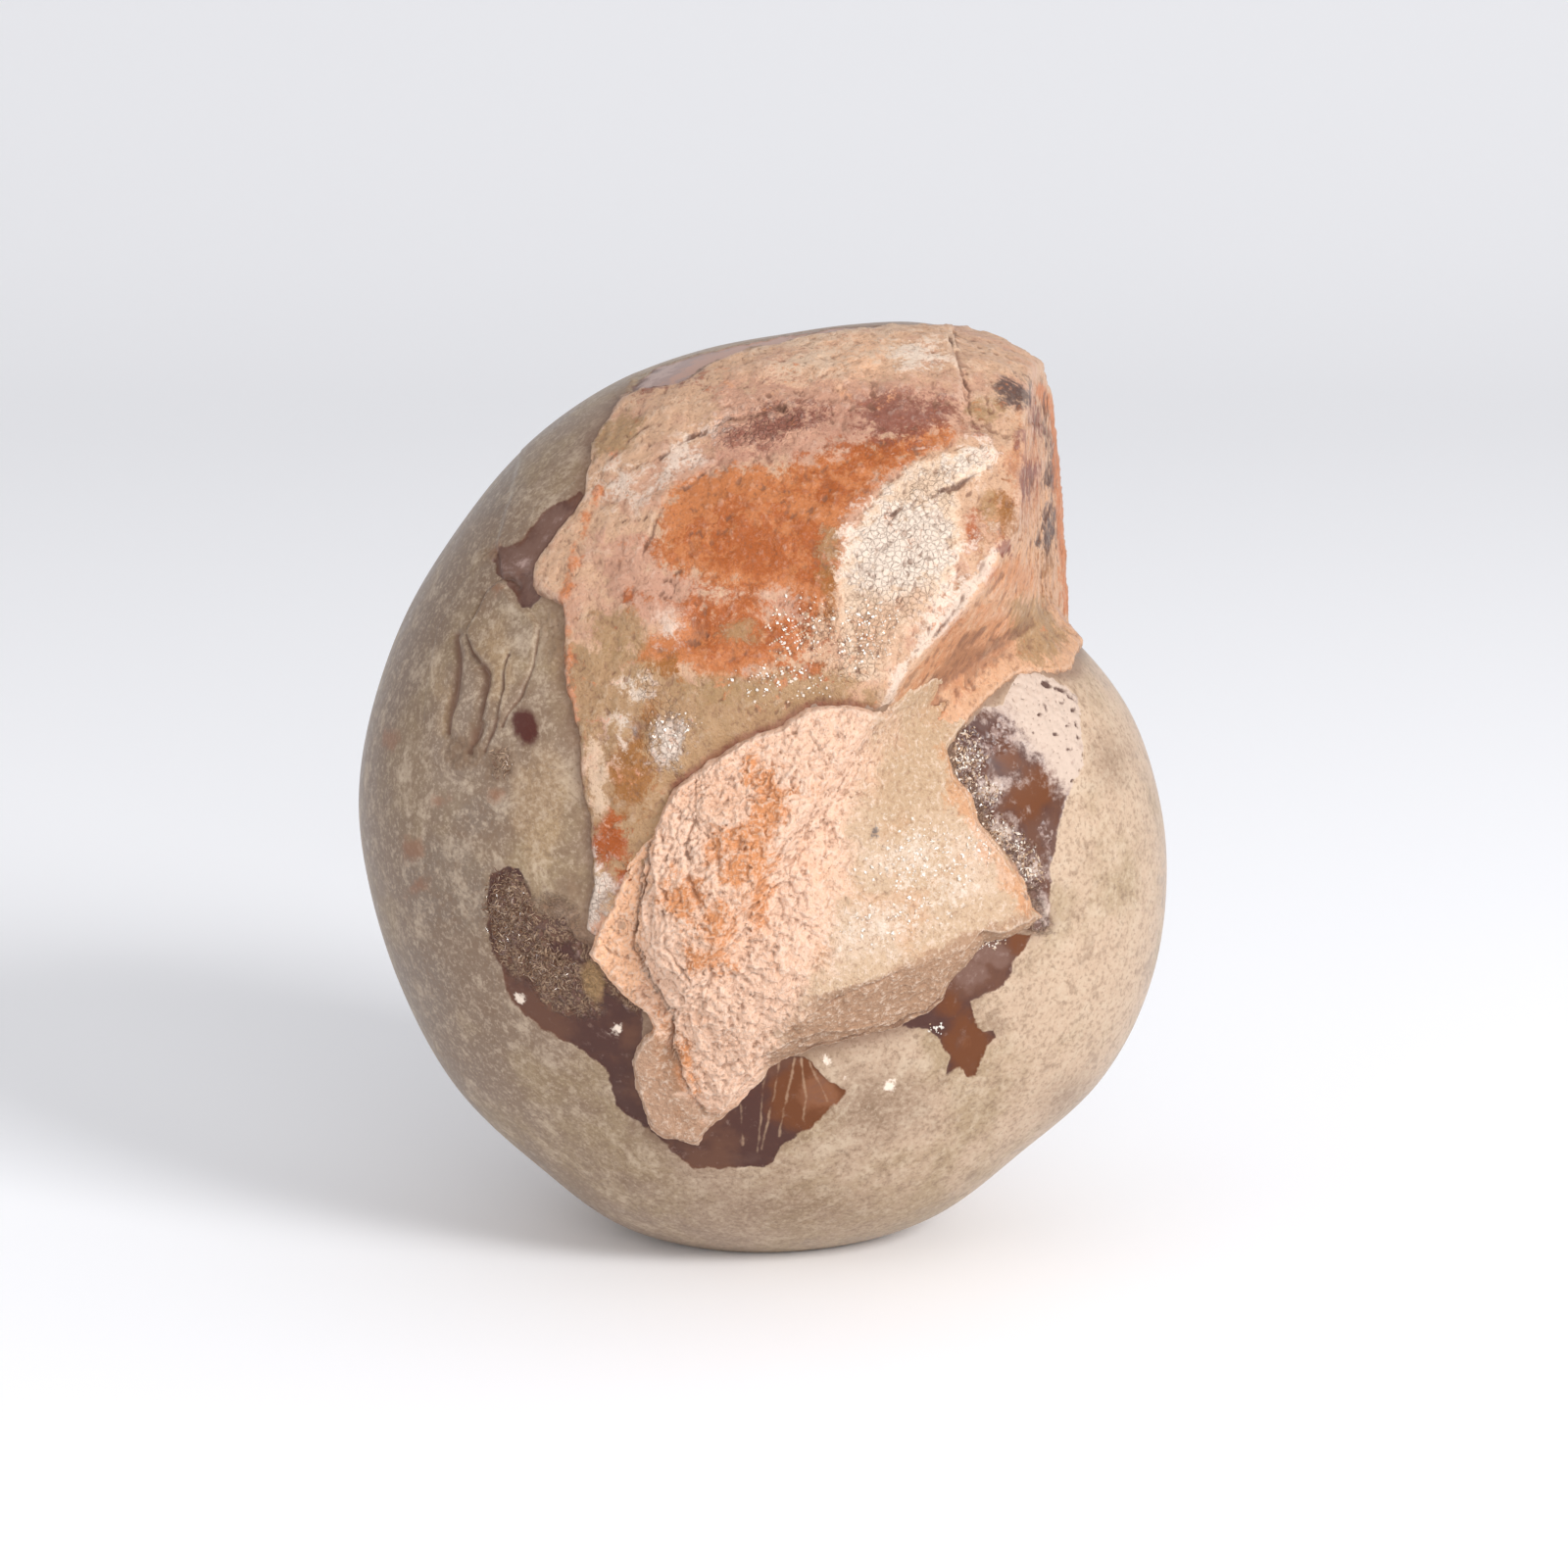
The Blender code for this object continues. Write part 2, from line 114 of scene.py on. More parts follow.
# cracks in the shell: points, depth, half width
SHELL_CRACKS = [
    (LEFT_FLAKE, 0.50, 0.55),
    ([(-33.9, 25.2), (-35.0, 26.3), (-36.1, 26.2), (-38.0, 24.3), (-38.8, 22.4), (-40.3, 19.9),
        (-40.4, 18.9), (-39.6, 16.7), (-38.1, 14.9)], 0.42, 0.28),
    ([(-38.1, 14.9), (-37.7, 14.0), (-37.9, 12.3), (-38.4, 9.9), (-38.7, 8.0), (-39.3, 6.1), (-40.2, 4.2)],
        0.55, 0.60),
    ([(-35.1, 16.4), (-35.6, 14.2), (-35.7, 12.1), (-36.0, 11), (-36.5, 8.5), (-37.7, 5.8), (-38.3, 4.2)],
        0.38, 0.26),
    ([(-31.3, 19.4), (-31.7, 17), (-32, 15.3), (-32.7, 13.4), (-33.6, 11.2), (-35.5, 8.5), (-36.1, 7.4)],
        0.28, 0.2),
]
# flakes that lie over each other like tiles: the raised edge, the rest of the outline, height
SHELL_FLAKES = [
    (LEFT_FLAKE, [(-40.2, 4.2), (-39.3, 6.1), (-38.7, 8.0), (-38.4, 9.9), (-37.7, 14.0), (-39.6, 16.7),
        (-40.4, 18.9)], 0.35),
    ([(-31.2, 19.4), (-31.2, 20.2), (-32.3, 21.8), (-34.2, 23.2), (-36.1, 26.0), (-38.0, 24.3),
        (-38.8, 22.4), (-40.3, 19.9), (-40.4, 18.9), (-39.6, 16.7), (-37.7, 14.0), (-37.9, 12.3),
        (-38.4, 9.9), (-38.7, 8.0)], [(-36.5, 7.4), (-33.6, 11.2), (-32, 15.3)], 0.5),
    ([(-35.1, 16.4), (-35.6, 14.2), (-35.7, 12.1), (-36.5, 8.5)], [(-35.5, 8.5), (-33.6, 11.2), (-32.3, 15)],
        0.3),
]
# where the shell is worn, flaked or rubbed through and is drawn at a finer spacing (with the brown patches)
WORN_PLACE = [(-46.5, 3), (-46, 12), (-44.5, 20), (-40.5, 27), (-38.5, 32), (-34, 31.5), (-28, 29),
    (-26, 22), (-26, 12), (-30, 3), (-33.5, -1), (-40, 0)]
# cracks and layer edges in the cast: points, depth
CAST_CRACKS = [([(-15.5, 41), (-12, 43.5), (-6.5, 46), (0, 47.5)], 0.45),
    ([(-18.5, 28), (-15, 35), (-10.5, 39), (-8, 41)], 0.4),
    ([(21, 56.5), (22, 53), (23.5, 50), (23.5, 47)], 0.5), ([(12.5, 34), (17.5, 36), (25.5, 39.5)], 0.45),
    ([(-23, 39), (-19.5, 43.5), (-15.5, 46)], 0.35), ([(-20, 33), (-17, 33.5)], 0.4),
    ([(26.5, 31), (24.5, 26), (21, 21), (17.5, 16.5)], 0.35), ([(33.3, 50), (33.4, 44.5), (33.6, 38)], 0.8),
    ([(33.9, 35.5), (32.2, 30.5)], 0.7), ([(29, 44), (30.5, 36), (27, 27)], 0.3)]
# beaded crust of grains in the cast, besides its cream field
BEADED = [(-23.6, -14.5, 2.6, 4.6, 0), (4.5, 19.5, 3, 4, 0), (9, 16, 4, 4, 0), (-15, 6, 4, 6, 0),
    (-2, 45, 9, 3, 10), (-17, 12, 3, 3, 0)]
# shallow hollows (or swellings, where the depth is negative): across, up, radius, depth
HOLLOWS = [(16.2, 19.6, 1.4, 0.35), (-21, 29, 2.0, 0.2), (-4, 36, 4, -0.3), (18, 50, 1.5, 0.4),
    (11, 50.5, 1.5, 0.35), (-18.5, 7.5, 1.6, 0.7), (-10.5, 20, 2.2, 0.6), (-6, 15, 2.0, 0.5),
    (16, 20, 3.5, -0.7), (1, 22, 3, 0.4), (-14, 13, 2.5, 0.5), (19, 31, 5, -0.6)]

# ---- stained and bare patches on the polished shell ----
BROWN_PATCHES = [
    [(25.5, 9.8), (27.8, 10.1), (30, 14.3), (32.5, 14), (34.3, 13.3), (36, 12.5), (37.6, 11.4), (38, 5.9),
        (38, 2.3), (36.6, -0.4), (35, -5.6), (34.5, -8), (33.9, -10.5), (34, -12.4), (33.8, -17.4),
        (33.3, -18.8), (28, -18), (28, -8), (22, 0), (22, 6)],
    [(31.6, -19.1), (30.8, -20.8), (29.4, -22.8), (28.9, -24.4), (28, -25.8), (26.4, -26.6), (24.1, -27.8),
        (24.4, -30.5), (25.3, -31.6), (26.6, -31.5), (27, -32.5), (26, -33.3), (25.3, -35.5), (24.4, -37.3),
        (23.3, -37.3), (22.8, -36.4), (21.6, -36.6), (20.8, -37.3), (21, -35), (19.6, -32.3), (18.3, -31.4),
        (15.1, -30.9), (18, -26), (26, -19)],
    [(-22.8, -34.5), (-22.4, -37.6), (-21.4, -40.8), (-20.1, -42.1), (-17.3, -44), (-15, -45.9),
        (-13.1, -47.9), (-11.3, -49), (-7.1, -49.1), (-3.3, -49), (-1.6, -48.1), (-0.4, -46.3), (2.1, -44.4),
        (4.5, -42.9), (7.1, -40.3), (8, -39), (6.8, -38.4), (5.5, -37.5), (3.9, -36.1), (2.6, -34.6),
        (-8, -34), (-16, -32)],
    [(-37.6, -11.8), (-35.5, -10.5), (-33.8, -10.8), (-32.4, -13.1), (-32.1, -15.8), (-30, -16.8),
        (-28, -16.8), (-26.6, -19.6), (-24, -21), (-18, -28), (-18, -34), (-22.3, -37.6), (-23, -36.1),
        (-25.6, -33.8), (-27.5, -33), (-30.9, -31.4), (-33, -29.3), (-34.8, -27.8), (-35.5, -26.1),
        (-36.1, -23), (-37.6, -21.5), (-37.9, -19.6), (-37.9, -13.4)],
    [(-25.9, 37), (-24, 36), (-24, 33.6), (-28, 31), (-30, 28), (-30, 25.3), (-30.9, 23.6), (-32.1, 22.4),
        (-33.3, 22.4), (-34.3, 24.4), (-35.8, 26), (-36.6, 26.5), (-37.1, 28.4), (-35.9, 30), (-33.3, 30.8),
        (-32.1, 32.5), (-30, 34.9), (-27.5, 35.8)],
    [(-20.2, 49.2), (-18.8, 51.4), (-16.5, 53.2), (-11.8, 56.5), (-5, 59), (3.8, 61), (12.5, 63), (13, 57),
        (3.8, 55), (-3.8, 53), (-10, 51), (-16.5, 48)],
]
# far-side brown patches: a point they lie round, and a radius
FAR_PATCHES = [((-31.0, 34.0, 78.0), 11.0), ((22.0, 38.0, 34.0), 8.0), ((-12.0, 40.0, 30.0), 5.5),
    ((40.0, 24.0, 45.0), 6.0), ((-44.0, 20.0, 40.0), 5.0)]

# stains: (across, up, half width, half height, turn in degrees)
CREAM_CRUST = [
    [(23.4, 8.2), (25.8, 9.6), (28.1, 9.6), (29.4, 7.2), (30.9, 5), (32.5, 3.1), (33.4, 1.3), (35, -0.3),
        (36.3, -0.9), (39.5, -0.6), (39.5, 9.2), (36.9, 13.0), (32.5, 15.2), (25.8, 15.2), (22.8, 11.1)],
    (27.5, -6.3, 1.5, 1.3, 0),
    (26.4, -0.8, 1.4, 0.7, 20),
    (33.3, -16.2, 0.7, 0.9, 0),
    (31.5, -10.8, 0.9, 0.7, 0),
]
# lines in the brown patches: pale scratches, and an edge with grit along it
PALE_LINES = [[(-5, -36), (-5.6, -41), (-5.2, -46)], [(-2.4, -35), (-2.6, -40), (-3.4, -47)],
    [(-0.6, -35), (-1.2, -40), (-2.8, -46.5)], [(1.3, -34.8), (0.6, -39), (-0.6, -45)],
    [(2.2, -35), (2.6, -39), (2.6, -43)], [(3.2, -35.5), (4.4, -38), (5.6, -40.5)]]
GRITTY_EDGE = [
    [(22, 6.5), (21.8, 3.5), (23.8, -0.8), (25.3, -4.2), (28, -8), (30.2, -11), (31.6, -15), (32.6, -18)],
    [(-26, -20.5), (-23, -25), (-19, -28.5)]]
# rose haze in the brown patch low on the right, as ovals
ROSE = [(26.6, -21.8, 3.2, 1.8, -25), (24.0, -24.4, 2.6, 2.0, -40)]
# wide stains in the shell: on the far side, how strong its clouds are, their size and by how much they miss;
# then the ovals on the near side
SHELL_CLOUDS = {
    "amber": (0.6, 12, 0.2, [(31.4, -1.2, 3.2, 4.4, -20), (28.3, 4.4, 2.0, 3.2, 20),
        (33.8, -15.0, 0.9, 3, 0), (23.5, -33.5, 3.5, 5, 0), (30.4, -20, 2.2, 2.4, 0),
        (4.5, -39.5, 7, 5.6, 10), (21.5, -28, 2.5, 2, -40), (-31.5, -15, 2.6, 1.2, -30)]),
    "rust": (1.5, 7, 1.2, [(-47.4, -8.4, 1.6, 1.8, 0), (-50.1, 5.7, 1.4, 1.6, 0),
        (-36.5, 29.6, 1.5, 1.0, 40), (-36.1, 24.6, 1.1, 0.9, 0), (-44, -2, 1.4, 1.0, 0),
        (-46.5, -13, 2.2, 1.2, 30), (-36.8, -1.5, 1.4, 1.0, 0)]),
    "tan": (2, 14, 0.6, [(-43.5, 10, 1.8, 6, 0), (-27.5, 16, 2.2, 6, 0), (-36.5, 15.5, 2.4, 6.5, 0),
        (-31, -3, 4, 8, 0)]),
    "grey": (2, 16, 0.6, [(-43, -13, 6, 7, 30), (-38.5, -4, 5, 3, 0), (-46, -26, 4, 7, 20),
        (-38, 39, 6, 6, 0)]),
    "purple": (0, 1, 1, [(24.5, 7, 1.4, 2.0, -30), (29, -6.5, 1.4, 1.6, 0), (18.5, -31, 4, 1.2, 0)]),
    "umber": (0, 1, 3, [(-46.5, 2, 4, 9, 8), (41.5, 3, 3, 4.5, 0), (12.5, -41, 8, 5, 10), (2, -54, 12, 3, 0),
        (36, -40, 5, 3, 40)]),
}
# small spots in the shell and where it is gritty, grainy or rough
SHELL_SPOTS = {
    "island": [(-24.4, -25.4, 1.7, 3.6, 12)],
    "red_spot": [(-32.9, 7.3, 2.0, 2.8, 12)],
    "pale_spot": [(-21.5, -31, 0.9, 0.9, 0), (-33.6, -27.5, 0.8, 0.5, -30), (13.5, -38.5, 1.0, 0.9, 0),
        (5.4, -35.2, 0.6, 0.6, 0), (7.8, -37.5, 0.5, 0.5, 0)],
    "grains": [(23.6, 3, 2.8, 4.6, -10), (26, -1, 2.4, 2.6, 0), (30.2, -9.5, 2.4, 4.6, 30),
        (33.6, -7.5, 1.2, 4, 5), (33, -16, 1.2, 3, 0), (28, 6.5, 2.0, 3.2, -30)],
    "gritty": [(-34, -18.5, 4.0, 7.0, 12), (-28.4, -25.4, 6.2, 3.8, -38), (-29.3, -17.5, 3.4, 3.6, 20)],
    "hole": [(32.4, 8.9, 0.22, 0.18, 0), (34.6, 6.4, 0.3, 0.2, -20), (31.8, 6.5, 0.18, 0.18, 0),
        (37.9, 3.8, 0.2, 0.25, 0), (36.7, 0.4, 0.35, 0.2, 0), (33.2, 9.7, 0.1, 0.5, 30),
        (36.2, 4.4, 0.2, 0.12, 0), (37.2, 7.5, 0.2, 0.4, 0), (35.4, 10.2, 0.3, 0.2, 0),
        (36.9, 9.4, 0.35, 0.3, 0), (37.5, 5.9, 0.2, 0.25, 0), (33.4, 12.6, 0.8, 0.5, -30),
        (35.2, 12.0, 0.9, 0.35, -20), (36.6, 11.2, 0.7, 0.25, -40), (34.9, 3.9, 0.25, 0.12, 0),
        (33.9, 8.2, 0.12, 0.12, 0), (36, 7.4, 0.12, 0.12, 0)],
    "rough": [(-27.2, -13.2, 2.0, 2.6, 0), (-29.8, 19, 1.7, 4.5, 0), (-36.2, 2.6, 2.4, 2.8, -20),
        (-41, 4.0, 2.6, 2.4, 0), (-37.5, 29, 1.6, 1.2, 0)],
}

# stains in the cast, the lowest first: colour, millimetres over which the edge fades, how strong, then the
# shapes (outlines, or ovals as across, up, half width, half height, turn)
CAST_STAINS = {
    "low_olive": ("cast_olive", 1.2, 0.8, [[(-28, 18), (-18.5, 17.5), (-14, 15.3), (-10.8, 13.4), (-3, 13.8),
        (3.7, 14.8), (7.5, 13.8), (13.3, 10.5), (16, 8), (3, 3), (-5, -2), (-14, -8), (-22, -18), (-30, -16),
        (-30, 0)]]),
    "pink_field": ("cast_pink", 1.5, 0.85, [[(-23.8, 31.2), (-15.6, 31.2), (-15.1, 27.3), (-9.8, 24.4),
        (-6, 25), (4, 24), (3, 20), (-10.8, 21.5), (-18, 20.1), (-22.8, 23.5)], [(-7.4, 50.4), (1.3, 52.3),
        (11.8, 51.8), (18.1, 51.3), (22.4, 48.5), (18.1, 44.6), (9.4, 42.2), (3.7, 40.8), (-3.1, 39.8),
        (-10.8, 39.0), (-9.3, 44.1)]]),
    "face_peach": ("cast_peach", 1.0, 0.9, [[(27, 30), (24.3, 26.3), (21, 22), (18.1, 18.7), (14.7, 14.8),
        (12, 8), (20, -2), (44, 8), (44, 40), (33, 40), (30, 33)]]),
    "face_deep": ("cast_orange", 1.5, 0.5, [(22.5, 16.5, 4, 5, -35), (27.5, 20, 3, 3, 0),
        (29, 26, 3, 2.2, 0), (17, 10.5, 2.2, 4, -30)]),
    "tan_wall": ("cast_tan", 1.2, 0.7, [[(23.4, 47), (30, 46.5), (32, 41), (31.5, 34), (28.5, 30),
        (25.5, 32), (24, 37.5)]]),
    "wall_orange": ("cast_orange", 1.0, 0.55, [(30.2, 40, 2.6, 6, 0), (27, 34.5, 2, 3, 0)]),
    "soft_maroon": ("cast_maroon_and_shade", 1.6, 0.3, [(6.5, 46, 7, 2.2, 8), (-4, 42.8, 6, 1.6, 12),
        (24.5, 44.5, 3, 1.6, -20), (29.5, 38, 1.6, 3.4, 0), (-14.5, 38.4, 2.0, 1.1, 45)]),
    "orange_field": ("cast_orange", 0.9, 0.95, [[(-15.6, 31.2), (-15.1, 35), (-12.7, 38.4), (-8.8, 39.3),
        (-3.1, 39.6), (0.8, 39.8), (5.6, 41.3), (8.5, 42), (11.8, 43.4), (16.2, 44.6), (20, 45.1),
        (21.9, 43.9), (21.4, 42.2), (18.6, 41.5), (15.7, 40.3), (12.3, 37.9), (9.9, 35.5), (8.2, 32.6),
        (7.3, 29.2), (7, 26.3), (5.6, 22), (3.7, 21.5), (1.7, 23.9), (-3.1, 24.4), (-7.4, 24.9),
        (-11.7, 26.3), (-15.1, 27.8)], [(-18, 18.2), (-14.1, 21.1), (-10.8, 22), (-3.1, 21.5), (0.8, 21.1),
        (3.7, 19.1), (3.2, 16.7), (-0.2, 15.3), (-5, 13.8), (-10.8, 13.8), (-14.6, 14.3), (-18.5, 15.8)],
        (-6.5, 22.2, 5, 1.8, 0)]),
    "deep_rust": ("cast_rust", 2.0, 0.85, [(-2.4, 30, 8.5, 4, -5), (4.5, 28.5, 2.6, 5, 15),
        (12, 42, 5, 1.8, 12), (6, 37.5, 4, 2, 15), (-5, 18.5, 6.5, 2.2, 0), (-7.5, 21, 4, 2.5, 0),
        (3.5, 18.5, 1.2, 2, 0)]),
    "dark_maroon": ("cast_maroon_and_shade", 1.3, 0.85, [[(-6.9, 43.7), (-3.1, 46.1), (0.8, 47.4), (5.6, 47.2),
        (4.2, 44.9), (-1.2, 43.6), (-5, 43)], [(9.4, 47.3), (12.3, 49), (16.2, 48.9), (21, 48.2), (22.4, 47),
        (18.6, 45.2), (15.7, 43.6), (11.8, 43.8), (9.4, 45.0)], [(-18.2, 50.4), (-14.1, 51.8), (-11.0, 51.5),
        (-14.1, 50.1), (-17.5, 49.5)]]),
    "olive": ("cast_olive", 0.8, 0.8, [[(-24.2, 21.8), (-20.4, 22.3), (-17.6, 20.1), (-18.3, 17.4),
        (-22.3, 15.8), (-25, 17.7)], [(5.1, 31.8), (6.7, 31.8), (6.9, 28.6), (5.6, 26.9), (4.2, 28.9)],
        [(-24.9, 44.3), (-20.9, 46.3), (-18.3, 45.8), (-20.2, 42), (-23.8, 40.6), (-25.4, 42.2)],
        [(28.7, 23), (32, 23.7), (34.4, 22.2), (35.7, 19.6), (34.9, 16.7), (33, 15.1), (30.1, 15.8),
        (28.7, 19)], (-5.8, 19.2, 1.8, 1.3, 0), (-8, 11.5, 4, 1.6, 0), (25.2, 47.2, 2.2, 1.2, 0),
        (26.2, 35.2, 1.2, 2.2, 0)]),
    "amber": ("cast_amber", 0.8, 0.9, [(-19.2, 2.0, 2.6, 6.0, 0), (-17, 9.5, 1.4, 2.2, 0),
        (-15, 14.8, 2.2, 1.2, 0), (5.9, 24.6, 0.9, 2.6, 0), (28.2, 34.5, 0.9, 2.6, 10),
        (22.2, 24.2, 0.7, 2.2, -20), (24.9, 29.6, 0.6, 1.8, -15), (33.4, 28.5, 0.7, 2, 0)]),
    "rust_spot": ("cast_rust", 0.6, 0.9, [(23.6, 31.6, 0.9, 2.6, 10), (22.9, 27.9, 0.5, 1.2, 0),
        (27.9, 29.7, 0.7, 0.6, 0), (29.4, 43.4, 0.5, 0.6, 0), (31.1, 40.8, 0.7, 0.7, 0),
        (-19.6, 23.1, 1.0, 0.5, 10), (21.2, 21.3, 0.5, 1.0, -30), (25.2, 27.2, 0.6, 0.35, -40)]),
    "bright_rust": ("cast_rust", 0.9, 1.0, [(-22.0, -7.6, 2.2, 3.4, 0), (-20.4, -11.2, 1.0, 2.0, 0),
        (-24.5, 2.5, 0.8, 2.5, 0)]),
    "dark_hole": ("streak_dark", 0.3, 0.85, [(-19.0, 6.6, 0.5, 0.7, 30), (-19.9, 7.6, 0.25, 0.4, 0)]),
    "cream_field": ("cast_cream", 0.5, 0.95, [[(16.2, 40.3), (20, 41.5), (23.4, 42.5), (26.3, 42),
        (26.3, 40.3), (23.4, 38.4), (21.9, 36.9), (22.4, 34), (22.2, 31.2), (21.9, 27.3), (21, 24.4),
        (18.6, 22), (15.2, 19.1), (14.2, 16.7), (12.8, 13.8), (10.4, 12.9), (8, 14.3), (7.3, 18.7),
        (7, 23.5), (7, 26.8), (8.5, 32.1), (10.9, 35.5)]]),
    "left_band": ("cast_shadow", 0.6, 0.5, [[(-28.5, 17), (-26.8, 16), (-25.7, 8), (-25.5, 0), (-24.2, -6),
        (-25.5, -9), (-28, -4)]]),
    "left_strip": ("cast_cream", 0.6, 0.8, [[(-25.2, 4.5), (-24.2, 6.5), (-22.8, 4.5), (-22.3, -2.5),
        (-23.6, -4.5), (-24.8, 0)]]),
    "cream_core": ("cast_white_and_highlight", 1.6, 0.9, [(14.5, 29.5, 6.5, 6.5, 20), (21.5, 40, 3, 1.4, 20)]),
    "top_peach": ("rock_peach", 1.5, 0.6, [(8.5, 53.6, 9, 2.8, 5)]),
    "top_cream": ("cast_cream", 1.5, 0.9, [(4, 53.4, 4, 1.6, 5), (16, 54, 4, 1.6, 0),
        (1.5, 57, 12, 1.3, 4)]),
    "cream_low": ("cast_tan", 1.2, 0.8, [(12, 19, 4, 4.5, 0), (16.5, 22.5, 3, 2, 40)]),
    "grey_mineral": ("cast_grey", 1.2, 0.7, [(-23.6, -14.5, 2.2, 4.2, 0), (-14.5, 5.4, 2.0, 2.6, 0)]),
    "pale": ("cast_white_and_highlight", 1.2, 0.7, [(-23.4, -12, 1.0, 1.6, 0), (-24.2, -16.2, 0.9, 1.2, 0),
        (-18.4, 11.5, 1.5, 1.5, 0), (-20.4, 7.0, 0.7, 1.2, 0), (-14.8, 5.4, 1.2, 1.6, 0),
        (-14.5, 19.6, 1.2, 1.0, 0), (17, 53.8, 2.4, 1.6, 0), (-14, 40.2, 4, 1.0, 40),
        (20.5, 24.5, 0.8, 3.5, -35), (-21.3, 37.8, 2, 1, 20)]),
    "white_ridge": ("cast_white_and_highlight", 0.35, 0.7, [[(27.3, 29.6), (26.2, 29.6), (23.6, 26.0), (20.2, 21.6),
        (17.4, 18.4), (14.0, 14.6), (12.8, 10.2), (13.9, 10.2), (15.4, 14.4), (18.8, 17.9), (21.8, 21.2),
        (25, 25.6)]]),
    "dark_lip": ("streak_dark", 0.6, 0.9, [[(33.4, 45.2), (35.2, 44.6), (35.4, 39.8), (34.9, 37.4),
        (33.4, 37.6), (33.9, 40.8)], [(33.8, 36.2), (35.3, 35.2), (34.8, 31.4), (33.2, 29.4), (31.9, 31.0),
        (33.2, 33.1)], [(27.0, 50.8), (29.1, 51.5), (31.9, 50.6), (31.6, 48.3), (29.1, 47.8),
        (27.3, 49.2)]]),
    "lip_spots": ("cast_maroon_and_shade", 0.5, 0.85, [(29.5, 43.5, 0.9, 1.0, 0), (31.4, 39.6, 1.0, 1.3, 0),
        (28, 29.6, 0.9, 0.8, 0), (30.6, 37.4, 0.9, 1.2, 0), (32.2, 46.4, 0.8, 1.6, 10),
        (24.5, 45.2, 0.8, 0.6, 0)]),
}
# where the edge of the broken shell shows orange, and half its width
LIP_RIM = [(32.8, 50.5), (34.0, 47.5), (34.8, 43.2), (35.3, 33.6), (35.7, 28.8), (36, 22)]
LEFT_RIM = [(-23.5, 37), (-25.2, 33.1), (-26.2, 29.2), (-27.1, 23.5), (-27.6, 16.7), (-27.0, 12.9),
    (-26.2, 8)]
RIM_WIDTH = 0.75
# thin skins of rock that stand a little higher than what lies below them
CAST_LAYERS = [
    ([(-15.5, 41), (-12, 43.5), (-6.5, 46), (0, 47.5), (8, 47.5), (14, 49.3), (23, 48), (22, 53), (21, 60),
        (-14, 56), (-26, 46), (-23, 39), (-19, 40)], 0.35),
    ([(-8, 41), (-10.5, 39), (-15, 35), (-18.5, 28), (-24, 29), (-28, 31), (-24, 37), (-15.5, 41)], 0.25),
    ([(16.2, 40.3), (20, 41.5), (23.4, 42.5), (27, 42), (26.3, 40.3), (25.5, 39.5), (17.5, 36), (12.5, 34),
        (9, 33)], 0.4),
    ([(21, 60), (22, 53), (23.5, 50), (23.5, 46), (28, 44), (33, 46), (36, 60)], -0.4),
]

# stains in the lump of rock, as in the cast
CHUNK_STAINS = {
    # under_shade is painted shade on the lump's under face
    "under_shade": ("rock_tan_and_under_shade", 0.4, 0.85, [[(-2.5, -34.5), (6.5, -26), (16, -21.5), (27.5, -17.5),
        (33, -16.5), (33, -30), (0, -40)]]),
    "orange_vein": ("rock_orange", 1.0, 0.9, [[(-4, 3), (-1.5, 2.5), (0.5, -1), (1, -4), (-3.5, -8.5),
        (-10, -10), (-8.5, -6.5), (-3.5, -4)], [(-3.5, -8), (-1, -9), (-2.5, -17), (-3.5, -18), (-5.5, -13)],
        (-5, -10, 3, 2.5, 0), (-12.5, -14.5, 2.8, 2.5, 0), (-8.5, -17.5, 2.5, 3.0, 0),
        (-14, -35, 1.6, 4.5, 20), (-9, -22, 2.5, 1.6, 0)]),
    "tan_left_rim": ("rock_orange", 0.8, 0.25, [[(-17, -6), (-20, -10), (-22, -15.5), (-25, -21.5),
        (-23.5, -23.5), (-19.5, -28), (-16.5, -31), (-14.8, -28), (-18, -20), (-17.5, -12), (-15.8, -6)]]),
    "left_layer": ("rock_peach", 0.9, 0.9, [[(-17.5, -2), (-20, -10), (-22, -15.5), (-25, -21.5),
        (-23.5, -23.5), (-19.5, -28), (-17.5, -25), (-18.8, -20), (-18.0, -15.5), (-17.0, -10),
        (-16.8, -5)]]),
    "tan_right_rim": ("rock_orange", 0.8, 0.5, [[(21.3, 4), (24, -1.5), (27.5, -8), (31, -13), (33, -17),
        (30, -17.2), (27, -12), (23.5, -6.5), (20.5, -1.5), (20, 4)]]),
    "upper_tan": ("cast_olive", 1.5, 0.3, [[(13, 10), (10.5, 4), (9, -2), (13, -6), (20, -2), (21, 6),
        (24, 12), (18, 15)]]),
    "pale_sugar": ("rock_white_and_highlight", 1.4, 0.3, [(11, -18, 7, 3, 12), (24, -9.5, 3.4, 4.5, 0),
        (12, -10, 2.5, 1.6, 0)]),
    "tongue_rust": ("rock_tan_and_under_shade", 0.6, 0.8, [[(-18, -32.5), (-14.5, -31), (-13.5, -36), (-12.5, -39.5),
        (-9.5, -42.5), (-6, -41), (-11, -47), (-19.5, -44), (-20.5, -36)]]),
}
